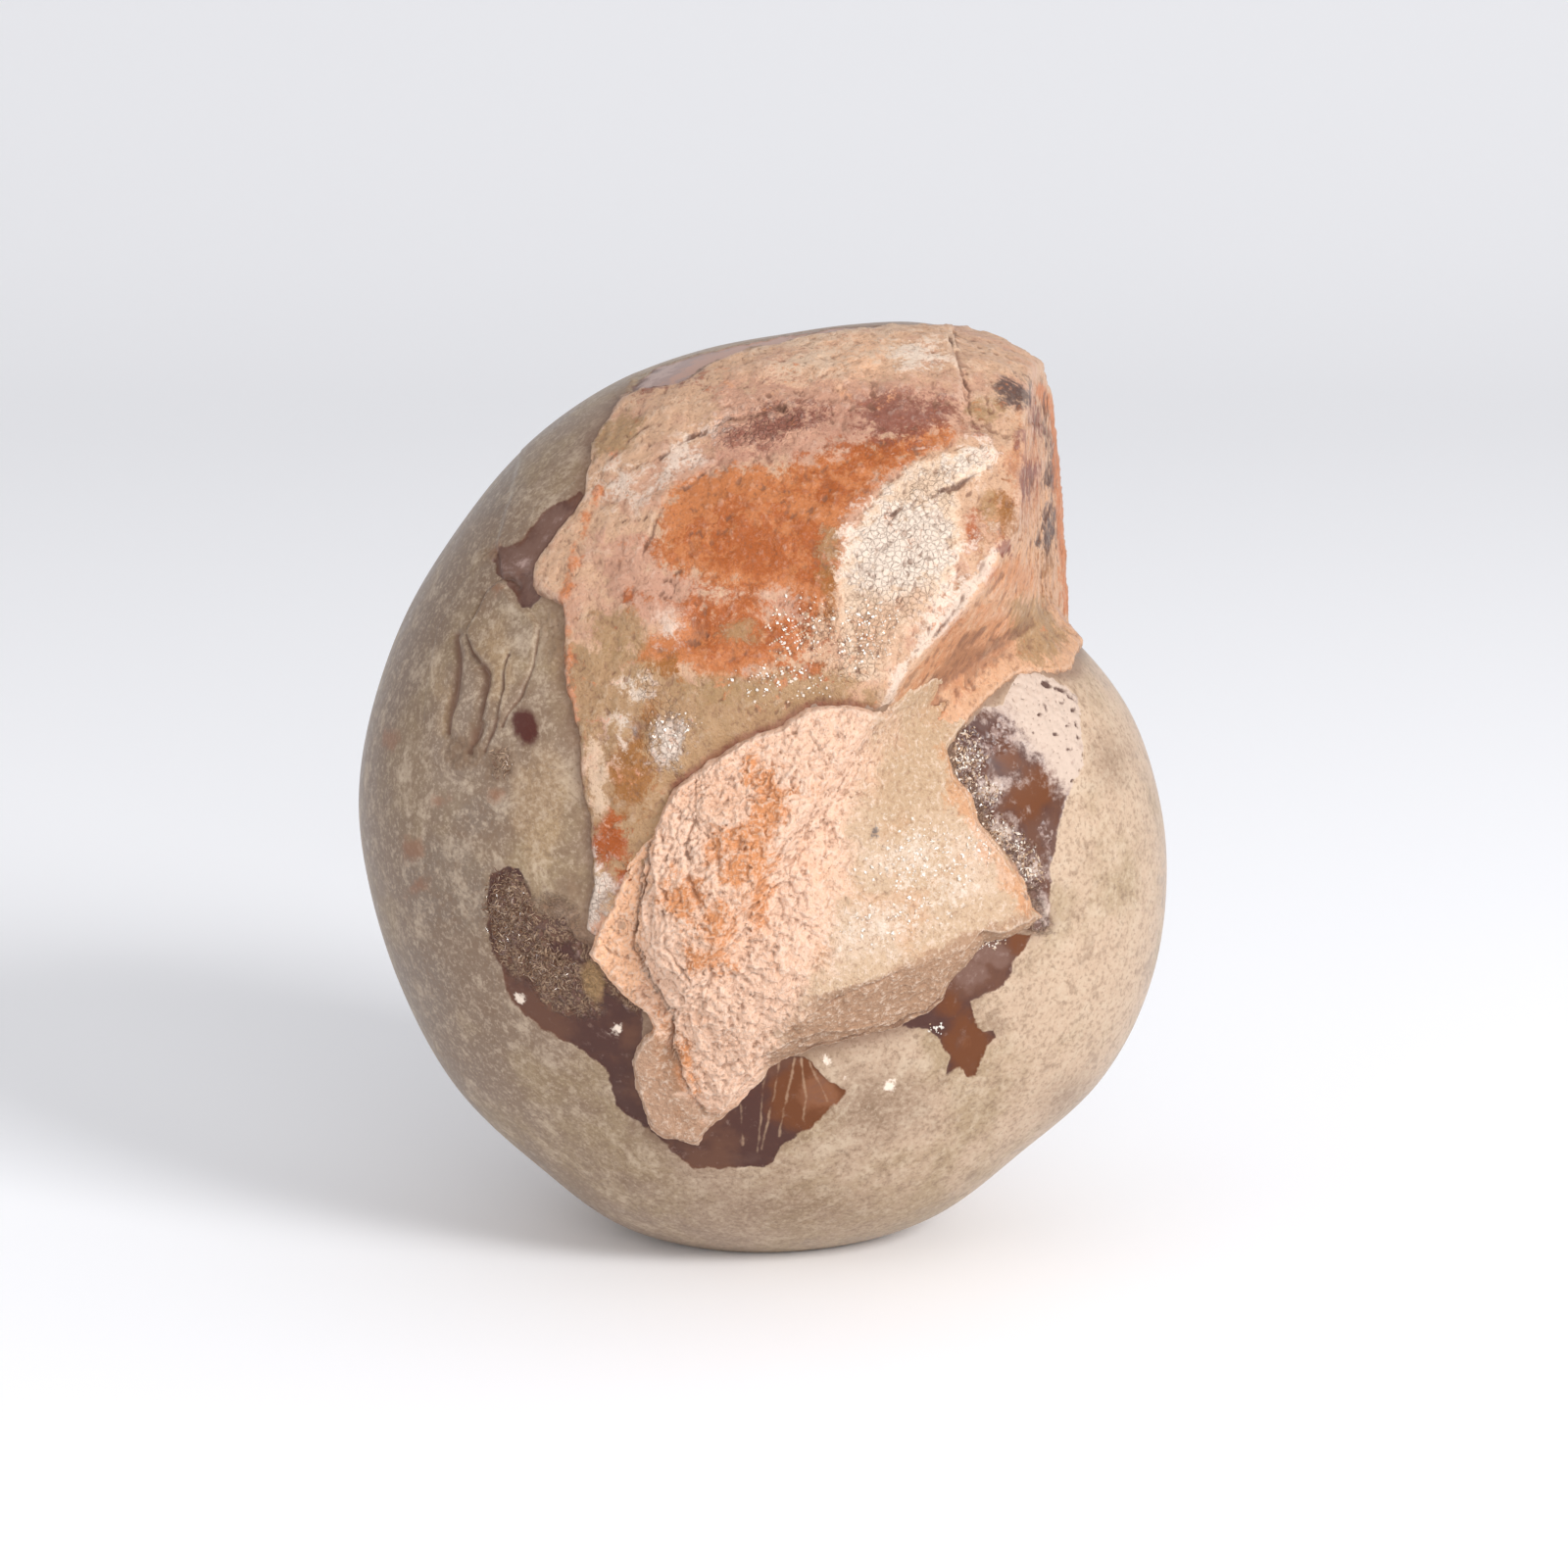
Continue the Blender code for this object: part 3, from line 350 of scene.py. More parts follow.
# cracks in the lump: points, depth
CHUNK_CRACKS = [([(-17.1, -5), (-17.3, -10.9), (-18.5, -16.4), (-19.4, -21.1), (-16, -25.2)], 0.45),
    ([(-11.2, 0.9), (-11.2, -5), (-12.5, -7.9), (-11.9, -10.5), (-10.8, -14.6)], 0.3),
    ([(-15.2, -16), (-14.7, -20.4), (-12.3, -23.8), (-11.2, -25.6)], 0.35),
    ([(-16, -4.6), (-15, -8.3)], 0.3), ([(-6, 4.6), (-3.8, 6.4), (-0.9, 7.1)], 0.35),
    ([(-13.9, -30), (-13.4, -34), (-12.6, -38), (-10.5, -41.2)], 0.3),
    ([(-9.5, -19.5), (-9, -24), (-10, -28)], 0.25),
    ([(-2.5, -33.6), (2, -29.6), (8, -26.2), (14, -23.6)], 0.2),
    ([(1, -34.2), (4, -33.1), (10.5, -31.6), (14.5, -30.6), (18.3, -28.6), (20.5, -26.6)], 0.5)]
# glassy places on the lump, also painted with a pale sheen, and its grey spots, as ovals
GLAZE = [(16.5, -9, 5, 4, 20), (11, -17.5, 6, 3, 15), (20, -13, 4, 3, 0), (25, -6.5, 1.6, 3, 0),
    (13.5, -5, 2, 1.5, 0)]
GREY_SPOT = [(11.3, -6, 0.6, 1.1, 0), (30.6, -14.4, 0.5, 0.5, 0), (25.5, -1.5, 0.7, 0.9, 20)]

# ---- meshes ----
BALL_SIDE = 128                # cells along a side of the gridded ball
BALL_PULL = 0.45               # how far it is gathered to the front
PATCH_RADIUS = 44.0            # typical distance of the surface from the coil centre
# gridded patches: the way to their middle, half their width and height in radians, how far out they close
WORN_PATCH = ((-0.1, -0.92, 0.38), 1.3, 1.45, 0.0)
CAST_PATCH = ((0.45, -0.50, 0.74), 1.5, 1.0, 0.0)
CHUNK_PATCH = ((0.06, -0.94, -0.34), 0.95, 0.95, 22.0)
# how far the pieces run on beside their own outlines, and under the rock that lies over them
WORN_MARGIN = 0.5
CAST_MARGIN = 1.6
CHUNK_MARGIN = 3.2
WORN_UNDER_ROCK = 2.2
CAST_UNDER_CHUNK = 3.5
CRYSTAL_SEED = 11
FIRST_CLOUD = 82               # kind of noise of the first of the shell's clouds
# fields of crystals: the piece they sit on, how many, how brown, how slender, ovals
CRYSTAL_FIELDS = [
    ("rock_chunk", 420, 0.0, 1.0,
        [(17, -10, 8, 6, 0), (14, -17, 8, 3.5, 10), (12, -20, 5, 2, 10), (25, -8, 3, 5, 0)]),
    ("whorl_cast", 420, 0.1, 1.0,
        [(2, 20, 5, 5, 0), (10, 19, 6, 5, 0), (0, 13, 8, 3, 0), (-14, 7, 4, 3, 0)]),
    ("worn_shell", 2000, 0.9, 0.3,
        [(-35, -17, 3.4, 6.4, 8), (-30, -23.5, 4.5, 3, -40), (-36, 2.6, 1.4, 2.4, 0)]),
    ("worn_shell", 800, 0.55, 0.8,
        [(23.4, 3, 2.4, 4.4, 0), (28, -7, 2, 4, 35), (30.6, -9.5, 2.2, 4.4, 30), (26, -1, 2, 2, 0)]),
    ("worn_shell", 70, 0.1, 1.0,
        [(26, -20.3, 2.5, 1, 10), (19.5, -31.2, 1.5, 0.7, 0), (5.5, -35.5, 0.8, 0.7, 0)]),
]

AIM = (0, 0, 0.06)             # the middle of the fossil in metres, which the lights face
# lights: name, place in metres, watts, width, colour
SOFTBOXES = [
    ("key_softbox", (0.84, -0.84, 0.70), 13.3, 0.42, (0.98, 0.985, 1.0)),
    ("front_softbox", (0.2, -1.3, 0.38), 6.5, 0.7, (0.98, 0.985, 1.0)),
    ("side_softbox", (-1.25, -0.1, 0.16), 2.1, 0.5, (1.0, 0.985, 0.97)),
]


# ---- small maths on whole arrays ----
def ramp(x, low, high):
    """Smooth step: 0 up to low, 1 from high, an even S between."""
    t = np.clip((x - low) / (high - low), 0, 1)
    return t * t * (3 - 2 * t)


def soft_max(a, b, width):
    """The larger of two, with a fillet of the given width where they cross."""
    h = np.clip(0.5 + 0.5 * (a - b) / width, 0, 1)
    return b + (a - b) * h + width * h * (1 - h)


def soft_min(a, b, width):
    """The smaller of two, with the same fillet."""
    return -soft_max(-a, -b, width)


def around(turn, stops):
    """Smooth closed curve through (degrees, value) stops: cubics, their slopes taken from both sides."""
    at = np.array([s[0] for s in stops], float)
    at = np.concatenate([at - 360, at, at + 360])
    value = np.array([s[1] for s in stops] * 3, float)
    slope = np.gradient(value, at)
    x = np.degrees(turn) % 360
    i = np.searchsorted(at, x, side="right") - 1
    gap = at[i + 1] - at[i]
    t = (x - at[i]) / gap
    return ((2 * t**3 - 3 * t**2 + 1) * value[i] + (t**3 - 2 * t**2 + t) * gap * slope[i]
            + (3 * t**2 - 2 * t**3) * value[i + 1] + (t**3 - t**2) * gap * slope[i + 1])


def edge_distance(ab, outline, closed=True):
    """Distance to the nearest edge of an outline, positive inside a closed one and negative outside."""
    start = np.array(outline, float)
    end = np.roll(start, -1, 0) if closed else start[1:]
    nearest = np.full(len(ab), 1e9)
    inside = np.zeros(len(ab), bool)
    for (ax, ay), (bx, by) in zip(start, end):
        ex, ey = bx - ax, by - ay
        wx, wy = ab[:, 0] - ax, ab[:, 1] - ay
        t = np.clip((wx * ex + wy * ey) / (ex * ex + ey * ey), 0, 1)
        nearest = np.minimum(nearest, (wx - t * ex) ** 2 + (wy - t * ey) ** 2)
        if closed and ey:
            inside ^= ((ay > ab[:, 1]) != (by > ab[:, 1])) & (ab[:, 0] < ax + (ab[:, 1] - ay) / ey * ex)
    return np.where(inside | (not closed), 1, -1) * np.sqrt(nearest)


def blots(ab, ovals):
    """Millimetres inside the nearest oval: its smaller half width times (1 - distance over reach)."""
    best = np.full(len(ab), OUTSIDE)
    for x, y, wide, high, turn in ovals:
        c, s = np.cos(np.radians(turn)), np.sin(np.radians(turn))
        u, v = ab[:, 0] - x, ab[:, 1] - y
        reach = np.hypot((u * c + v * s) / wide, (v * c - u * s) / high)
        best = np.maximum(best, min(wide, high) * (1 - reach))
    return best


def stain_depth(ab, shapes):
    """Millimetres inside the deepest of several ovals and outlines."""
    best = blots(ab, [shape for shape in shapes if isinstance(shape, tuple)])
    for outline in shapes:
        if isinstance(outline, list):
            best = np.maximum(best, edge_distance(ab, outline))
    return best


def line_glow(ab, line, width):
    """1 on a line, falling to 0 away from it as a bell curve."""
    return np.exp(-(edge_distance(ab, line, closed=False) / width) ** 2)


class Roughness:
    """Seeded lumpy patterns in space. A pattern's kind moves it, so that no two follow each other."""

    LUMPS_APART = 17.3             # lattice cells from one kind to the next
    CHIPS_APART = 11.7

    def __init__(self, seed):
        source = np.random.default_rng(seed)
        self.order = source.permutation(256)
        self.slope = source.normal(size=(256, 3))
        self.slope /= np.linalg.norm(self.slope, axis=1)[:, None]
        self.spot = source.random((256, 3))

    def pick(self, cell):
        """A number from 0 to 255 for each lattice cell: its three places looked up one after another."""
        i = self.order[cell[:, 0] & 255]
        i = self.order[(i + cell[:, 1]) & 255]
        return self.order[(i + cell[:, 2]) & 255]

    def lumps(self, p, size, kind=0):
        """Gradient noise, about -1 to 1: eight corner slopes of a lattice cell, faded into each other."""
        q = p / size + kind * self.LUMPS_APART
        cell = np.floor(q).astype(int)
        f = q - cell
        w = f * f * f * (f * (f * 6 - 15) + 10)
        total = np.zeros(len(p))
        for corner in np.ndindex(2, 2, 2):
            corner = np.array(corner)
            reach = ((f - corner) * self.slope[self.pick(cell + corner)]).sum(1)
            total += np.where(corner, w, 1 - w).prod(1) * reach
        return 1.6 * total

    def broken(self, p, size, octaves, kind=0, keep=0.5):
        """Lumps with smaller lumps on them, each `keep` times as high as the last."""
        layers = [self.lumps(p, size / 2**k, kind + k) * keep**k for k in range(octaves)]
        return sum(layers) / sum(keep**k for k in range(octaves))

    def chips(self, p, size, kind=0):
        """Tilt, level and seam distance of flat chips round points scattered `size` millimetres apart."""
        q = p / size + kind * self.CHIPS_APART
        cell = np.floor(q).astype(int)
        nearest, second = np.full(len(p), 9.0), np.full(len(p), 9.0)
        tilt, level = np.zeros(len(p)), np.zeros(len(p))
        for step in np.ndindex(3, 3, 3):
            there = cell + np.array(step) - 1
            k = self.pick(there)
            v = q - there - self.spot[k]
            away = np.sqrt((v * v).sum(1))
            near = away < nearest
            second = np.where(near, nearest, np.minimum(second, away))
            nearest = np.where(near, away, nearest)
            tilt = np.where(near, (v * self.slope[k]).sum(1) * size, tilt)
            level = np.where(near, self.spot[k][:, 0] - 0.5, level)
        return tilt, level, (second - nearest) * size


ROUGHNESS = Roughness(7)


# ---- the form: how far the surface is from the coil centre along each direction ----
def on_sheet(p):
    """Where points land on the upright sheet: their offset across and up, scaled by how near they are."""
    c, s = np.cos(SHEET_TILT), np.sin(SHEET_TILT)
    up, ahead = np.array([0, s, c]), np.array([0, c, -s])
    v = p - SHEET_CENTRE + SHEET_AWAY * ahead
    scale = SHEET_AWAY / (v @ ahead)
    return np.stack([v[:, 0] * scale, (v @ up) * scale], 1)


def flat_range(d, point, normal):
    """Distance to a plane: its offset from the centre over how squarely the direction meets it."""
    normal = np.array(normal) / np.linalg.norm(normal)
    facing = d @ normal
    offset = (np.array(point) - COIL_CENTRE) @ normal
    return np.where(facing > EDGE_ON, offset / np.maximum(facing, EDGE_ON), FAR_AWAY)


def whorl_range(d, rim, half):
    """Rounded whorl: a superellipse between its rim round the coil and its half thickness at the side."""
    turn = np.arctan2(d[:, 2], d[:, 0])
    out = np.hypot(d[:, 0], d[:, 2])
    swing = ramp(out, 0.05, 0.8)
    mean = np.mean([value for _, value in rim])
    reach = mean + (around(turn, rim) - mean) * swing
    front, back, axis = half
    thick = np.where(d[:, 1] < 0, axis + (around(turn, front) - axis) * swing, back)
    return ((out / reach) ** ROUNDNESS + (np.abs(d[:, 1]) / thick) ** ROUNDNESS) ** (-1 / ROUNDNESS)


def coil_range(d):
    """Inner whorls filleted into the last whorl, which its break faces cut off.

    Also how far inside the broken face each direction is, and how much of it is broken face."""
    inner = whorl_range(d, INNER_RIM, INNER_HALF)
    outer = whorl_range(d, OUTER_RIM, OUTER_HALF)
    cut = np.full(len(d), FAR_AWAY)
    for point, normal, worn in BREAK_FACES:
        cut = soft_min(cut, flat_range(d, point, normal), worn) if worn else flat_range(d, point, normal)
    inside_face = np.minimum(outer - cut, cut - inner + FACE_FOOT)
    face = ramp(outer - cut, 0, 1.2)
    outer = soft_min(outer, cut, 1.2)
    return soft_max(inner, outer, WHORL_JOIN), inside_face, face * ramp(outer - inner, -0.5, 1.0)


def ragged(p, amount):
    """Sideways wander of every outline: two broken noises."""
    return amount * np.stack([ROUGHNESS.broken(p, 4.5, 4, 3, 0.6), ROUGHNESS.broken(p, 4.5, 4, 9, 0.6)], 1)


def near_side(d):
    """1 on the side towards -Y, where the sheet's outlines hold, and 0 on the far side."""
    return ramp(-d[:, 1], -0.1, 0.1)


def skin_cover(d, ab, inside_face):
    """Millimetres inside the cast: the larger of the outline on the near side and the broken face."""
    outline = np.where(d[:, 1] < SKIN_END, edge_distance(ab, ROUGH_SKIN), OUTSIDE)
    return np.maximum(outline, inside_face)


def chunk_cover(d, ab):
    """Millimetres inside the outline of the lump of rock, on the near side."""
    return np.where(d[:, 1] < 0, edge_distance(ab, CHUNK), OUTSIDE)


def face_height(ab, three):
    """Height of the plane through three (across, up, height) points."""
    k = np.linalg.solve([[x, y, 1] for x, y, _ in three], [height for *_, height in three])
    return ab @ k[:2] + k[2]


def chunk_height(ab, p):
    """Two layers of rock: a thin one to the outline and a faceted one on it.

    The faceted one is the lowest of four planes, with steps parallel to its edge."""
    inside, upper = edge_distance(ab, CHUNK), edge_distance(ab, UPPER_LAYER)
    left, right, under, tongue = (face_height(ab, f) for f in CHUNK_FACES)
    faces = soft_min(soft_min(left, right, 2.2), soft_min(under, tongue, 0.5), 0.3)
    faces = faces + 0.45 * ROUGHNESS.lumps(p, 9, 61)
    stair = np.clip(upper, 0, 9) / 1.7 + 0.6 * ROUGHNESS.lumps(p, 5, 62) + 0.2 * ROUGHNESS.lumps(p, 1.6, 64)
    stair = 0.38 * (np.floor(stair) + ramp(stair % 1, 0, 0.25))
    faces = np.minimum(faces, 1.9 + 0.35 * np.clip(upper, 0, None) + stair)
    thin = 1.0 + 0.15 * ROUGHNESS.lumps(p, 4, 63)
    thin *= 1 - ramp(ab[:, 1], 4, 11) * ramp(ab[:, 0], 10, 18)
    height = np.where(upper > 0, np.maximum(faces, thin), thin)
    return np.minimum(height, 2.2 * inside), inside


def navel_relief(d):
    """The navel on the far side: a funnel that is a bell curve of the distance from the coil axis."""
    depth, reach, steep = NAVEL
    out = np.hypot(d[:, 0], d[:, 2])
    return -depth * np.exp(-(out / reach) ** steep) * ramp(d[:, 1], 0.1, 0.5)


def hollows_relief(ab):
    """Round dips and swellings, each a bell curve."""
    total = np.zeros(len(ab))
    for x, y, radius, depth in HOLLOWS:
        total -= depth * np.exp(-((ab[:, 0] - x) ** 2 + (ab[:, 1] - y) ** 2) / radius**2)
    return total


# ---- surfaces ----
def ball_directions(side, pull):
    """Directions of a cube's six gridded sides blown up into a ball, gathered towards -Y."""
    t = np.tan(np.linspace(-np.pi / 4, np.pi / 4, side + 1))
    u, v = np.meshgrid(t, t, indexing="ij")
    one = np.ones_like(u)
    sides = [(one, u, v), (-one, v, u), (v, one, u), (u, -one, v), (u, v, one), (v, u, -one)]
    d = np.concatenate([np.stack([a.ravel() for a in s], 1) for s in sides])
    d /= np.linalg.norm(d, axis=1)[:, None]
    corner = np.arange((side + 1) ** 2).reshape(side + 1, side + 1)
    quad = np.stack([corner[:-1, :-1], corner[1:, :-1], corner[1:, 1:], corner[:-1, 1:]], -1).reshape(-1, 4)
    quads = np.concatenate([quad + k * corner.size for k in range(6)])
    _, first, again = np.unique(np.round(d, 6), axis=0, return_index=True, return_inverse=True)
    d, quads = d[first], again.reshape(-1)[quads]
    facing = np.cross(d[quads[:, 1]] - d[quads[:, 0]], d[quads[:, 2]] - d[quads[:, 0]])
    inward = (facing * d[quads[:, 0]]).sum(1) < 0
    quads[inward] = quads[inward][:, ::-1]
    d = d + (0.0, -pull, 0.0)
    return d / np.linalg.norm(d, axis=1)[:, None], quads


def patch_directions(toward, wide, high, step):
    """Directions on a grid of longitudes and latitudes about the way `toward`, `step` radians apart."""
    ahead = np.array(toward) / np.linalg.norm(toward)
    side = np.cross((0, 0, 1), ahead)
    side /= np.linalg.norm(side)
    top = np.cross(ahead, side)
    lon = np.arange(-wide, wide + step, step)
    lat = np.arange(-high, high + step, step)
    lat, lon = (a.ravel()[:, None] for a in np.meshgrid(lat, lon, indexing="ij"))
    d = np.cos(lat) * (np.cos(lon) * ahead + np.sin(lon) * side) + np.sin(lat) * top
    across = len(np.arange(-wide, wide + step, step))
    corner = np.arange(len(d)).reshape(-1, across)
    quads = np.stack([corner[:-1, :-1], corner[:-1, 1:], corner[1:, 1:], corner[1:, :-1]], -1).reshape(-1, 4)
    return d, quads


def trimmed(d, quads, keep):
    """Only the cells whose four corners are kept, renumbered."""
    quads = quads[keep[quads].all(1)]
    used, again = np.unique(quads, return_inverse=True)
    return d[used], again.reshape(-1, 4)


def closing_fan(quads, apex):
    """Triangles from every open edge to one point inside, turned to face out."""
    edges = np.concatenate([quads[:, [k, (k + 1) % 4]] for k in range(4)])
    code = edges[:, 0] * (apex + 1) + edges[:, 1]
    back = edges[:, 1] * (apex + 1) + edges[:, 0]
    rim = edges[~np.isin(back, code)]
    return np.stack([rim[:, 1], rim[:, 0], np.full(len(rim), apex)], 1)


def far_brown(p):
    """Millimetres inside the far side's brown patches: balls with a wandering edge."""
    best = np.full(len(p), OUTSIDE)
    for centre, radius in FAR_PATCHES:
        best = np.maximum(best, radius - np.linalg.norm(p - centre, axis=1))
    return best + 2.6 * ROUGHNESS.broken(p, 9, 4, 81)


def shell_layout(d):
    """Where the shell lies before its detail, and millimetres inside rock, brown patches and worn places.

    The first four: its range, its points, their places on the sheet and those places with a wander."""
    base, inside_face, _ = coil_range(d)
    p = COIL_CENTRE + base[:, None] * d
    ab = on_sheet(p)
    wander = ab + ragged(p, sizes().ragged_edge / MM)
    cover = np.maximum(skin_cover(d, ab, inside_face), chunk_cover(d, ab))
    brown = np.full(len(d), OUTSIDE)
    chipped = wander + ragged(2.5 * p, 0.4)
    for outline in BROWN_PATCHES:
        brown = np.maximum(brown, edge_distance(chipped, outline))
    brown -= 8 * ramp(d[:, 1] + 0.07 * ROUGHNESS.broken(p, 6, 4, 9, 0.6), -0.07, 0.03)
    front = d[:, 1] < FRONT
    worn = np.where(front, np.maximum(brown + 1.5, edge_distance(ab, WORN_PLACE)), OUTSIDE)
    return (base, p, ab, wander), (cover, np.where(front, brown, far_brown(p)), worn)


def shell_surface(d, fine=False):
    """The polished shell: the coil, its loose layers and cracks, sunk where rock lies over it.

    The fine piece of its worn places dips in at its edge, and the coarse one is sunk below it."""
    (base, p, ab, wander), (cover, brown, worn) = shell_layout(d)
    near = near_side(d)
    relief = 0.4 * ramp(edge_distance(wander, SHELL_LAYER), -0.1, 0.4)
    crack = np.zeros(len(d))
    uneven = 1 + 0.7 * ROUGHNESS.lumps(p, 3, 43)
    crack_ab = ab + ragged(p * 2, 0.12)
    for line, depth, width in SHELL_CRACKS:
        here = line_glow(crack_ab, line, width * (0.4 + 0.6 * uneven))
        crack = np.maximum(crack, depth / 0.45 * uneven * here)
    for raised, rest, height in SHELL_FLAKES:
        slope = np.exp(-edge_distance(ab, raised, closed=False) / 2.4)
        relief += height * slope * ramp(edge_distance(ab, raised + rest), -0.1, 0.35)
    spots = {name: blots(wander, ovals) for name, ovals in SHELL_SPOTS.items()}
    for line in GRITTY_EDGE:
        spots["gritty"] = np.maximum(spots["gritty"], 1.2 - edge_distance(wander, line, closed=False))
    crust = stain_depth(wander, CREAM_CRUST)
    relief -= 0.16 * ramp(brown, -0.1, 0.25)
    wide_wander = ab + ragged(p, 1.3)
    rough_brown = np.max([spots["gritty"], spots["grains"], crust - 0.6], 0)
    grit = ROUGHNESS.broken(p, 1.1, 3, 91, 0.8)
    grit *= np.maximum(ramp(rough_brown, 0, 0.6) * ramp(brown, -0.1, 0.3), ramp(spots["rough"], 0, 0.8))
    relief += 0.45 * grit + 0.2 * ramp(crust, 0, 0.4) * ramp(brown, 0, 0.4)
    relief = near * (relief - 0.4 * crack + hollows_relief(ab) - 0.35 * ramp(spots["hole"], -0.1, 0.15))
    relief -= 0.9 * ramp(cover, 0.8, 1.8)
    relief += 0.14 * ROUGHNESS.lumps(p, 18, 41) + navel_relief(d)
    relief += 0.02 - 0.45 * ramp(-worn, -0.3, 0.25) if fine else -0.5 * ramp(worn, 0.6, 1.3)
    reach = np.minimum(base + relief, flat_range(d, *FOOT))
    far = 1 - near
    lines = np.max([line_glow(wander, line, 0.2) for line in PALE_LINES], 0)
    *_, left_patch, top_patch = BROWN_PATCHES
    haze = np.max([1 + edge_distance(wander, top_patch), 0.4 * edge_distance(wander, left_patch),
                   np.minimum(blots(wide_wander, ROSE), 0.8)], 0)
    stains = {name: near * depth - far for name, depth in (spots | {"crust": crust}).items()}
    for kind, (name, (swing, size, below, ovals)) in enumerate(SHELL_CLOUDS.items(), FIRST_CLOUD):
        cloud = swing * ROUGHNESS.lumps(p, size, kind) - below
        stains[name] = near * blots(wide_wander, ovals) + far * cloud
    stains |= {
        "brown": brown,
        "pale_line": near * lines * (0.8 + 0.6 * ROUGHNESS.lumps(p, 4, 61)),
        "haze": np.where(d[:, 1] < FRONT, haze, OUTSIDE),
        # painted shade: the shell is coloured darker next to the cast and the lump of rock that stand over it
        "shade_beside_rock": np.exp(-np.clip(-cover, 0, None) / 1.5),
        "crack": near * crack,
        "grit": grit,
    }
    return COIL_CENTRE + reach[:, None] * d, stains


def worn_surface(d):
    """The polished shell in its worn places."""
    return shell_surface(d, fine=True)


def cast_surface(d):
    """The rough cast in the last whorl and on its broken end: sandy and cracked, with thin layers on it."""
    base, inside_face, face = coil_range(d)
    p = COIL_CENTRE + base[:, None] * d
    ab = on_sheet(p)
    near = np.maximum(near_side(d), face)
    wander = ab + ragged(p, sizes().ragged_edge / MM)
    inside_face = inside_face + 0.5 * ROUGHNESS.broken(p, 3, 3, 14)
    cover = skin_cover(d, wander, inside_face)
    lift = sizes().cast_lift / MM * (1 - 0.7 * face)
    relief = lift * ramp(cover, -0.1, 0.6) + 1.2 * np.minimum(cover, 0)
    relief -= near * 1.3 * line_glow(ab, CHUNK_TOP_EDGE, 2.6)
    relief += near * hollows_relief(ab)
    cracks = np.zeros(len(d))
    uneven = 0.6 + ROUGHNESS.lumps(p, 2.4, 46)
    crack_ab = wander + ragged(p * 2.7, 0.4)
    for line, depth in CAST_CRACKS:
        cracks -= depth * uneven * line_glow(crack_ab, line, 0.3)
    relief += 0.8 * near * cracks
    layer_ab = wander + ragged(p * 2, 0.4)
    for outline, height in CAST_LAYERS:
        relief += near * 0.8 * height * ramp(edge_distance(layer_ab, outline), -0.12, 0.15)
    stain_ab = ab + ragged(p, 1.1)
    cream = edge_distance(stain_ab, CAST_STAINS["cream_field"][3][0])
    _, level, seam = ROUGHNESS.chips(p + ragged(p, 0.4)[:, [0, 1, 0]], 0.95, 4)
    grain = sizes().grain_height / MM
    sandy = ROUGHNESS.broken(p, 1.7, 3, 33, 0.65)
    streaks = ROUGHNESS.broken(p - 0.8 * (p @ STREAK_WAY)[:, None] * STREAK_WAY, 1.6, 3, 35, 0.6)
    lumpy = ROUGHNESS.broken(p, 7, 5, 31, 0.6)
    flakes = 2.0 * lumpy + 0.5 * ROUGHNESS.lumps(p, 1.8, 36)
    flakes = 0.55 * (np.floor(flakes / 0.55) + ramp(flakes / 0.55 % 1, 0.0, 0.2))
    relief += 0.35 * lumpy + 0.28 * flakes + grain * (0.55 + 0.3 * level) * sandy
    relief += grain * near * ramp(cream, -0.5, 1) * (0.4 * ramp(seam, 0, 0.3) - 0.3 + 0.25 * level)
    relief += grain * face * 0.9 * streaks + 0.45 * face * ROUGHNESS.broken(p, 6, 3, 71)
    pits = ramp(level, 0.38, 0.46) * ramp(0.75 - seam, 0, 0.6) * ramp(ROUGHNESS.lumps(p, 9, 45), -0.2, 0.4)
    relief -= grain * pits
    rim_gaps = ramp(ROUGHNESS.broken(p, 2.4, 3, 47, 0.7), -0.25, 0.25)
    relief += near * 0.3 * line_glow(wander + ragged(p * 1.7, 0.5), LEFT_RIM, 0.6) * rim_gaps
    stains = {name: near * stain_depth(stain_ab if soft > 0.5 else wander, shapes) + OUTSIDE * (1 - near)
              for name, (_, soft, _, shapes) in CAST_STAINS.items()}
    stains |= {
        "broken_face": face,
        "rim": near * np.maximum(line_glow(wander, LIP_RIM, RIM_WIDTH),
                                 (0.35 + 0.65 * rim_gaps) * line_glow(stain_ab, LEFT_RIM, RIM_WIDTH)),
        "crack": near * np.clip(-cracks / 0.4, 0, 1),
        "streak": streaks,
        # painted shade along the cast's edge, where it meets the shell
        "edge": near * np.exp(-(np.clip(cover - 0.1, 0, None) / 0.3) ** 2),
        # painted shade in the groove just above the lump of rock's top edge
        "shade_above_rock": near * line_glow(wander - (0.0, 0.5), CHUNK_TOP_EDGE, 0.9),
        "beads": np.maximum(near * cream, blots(stain_ab, BEADED)) + OUTSIDE * (1 - near),
    }
    return COIL_CENTRE + (base + relief)[:, None] * d, stains


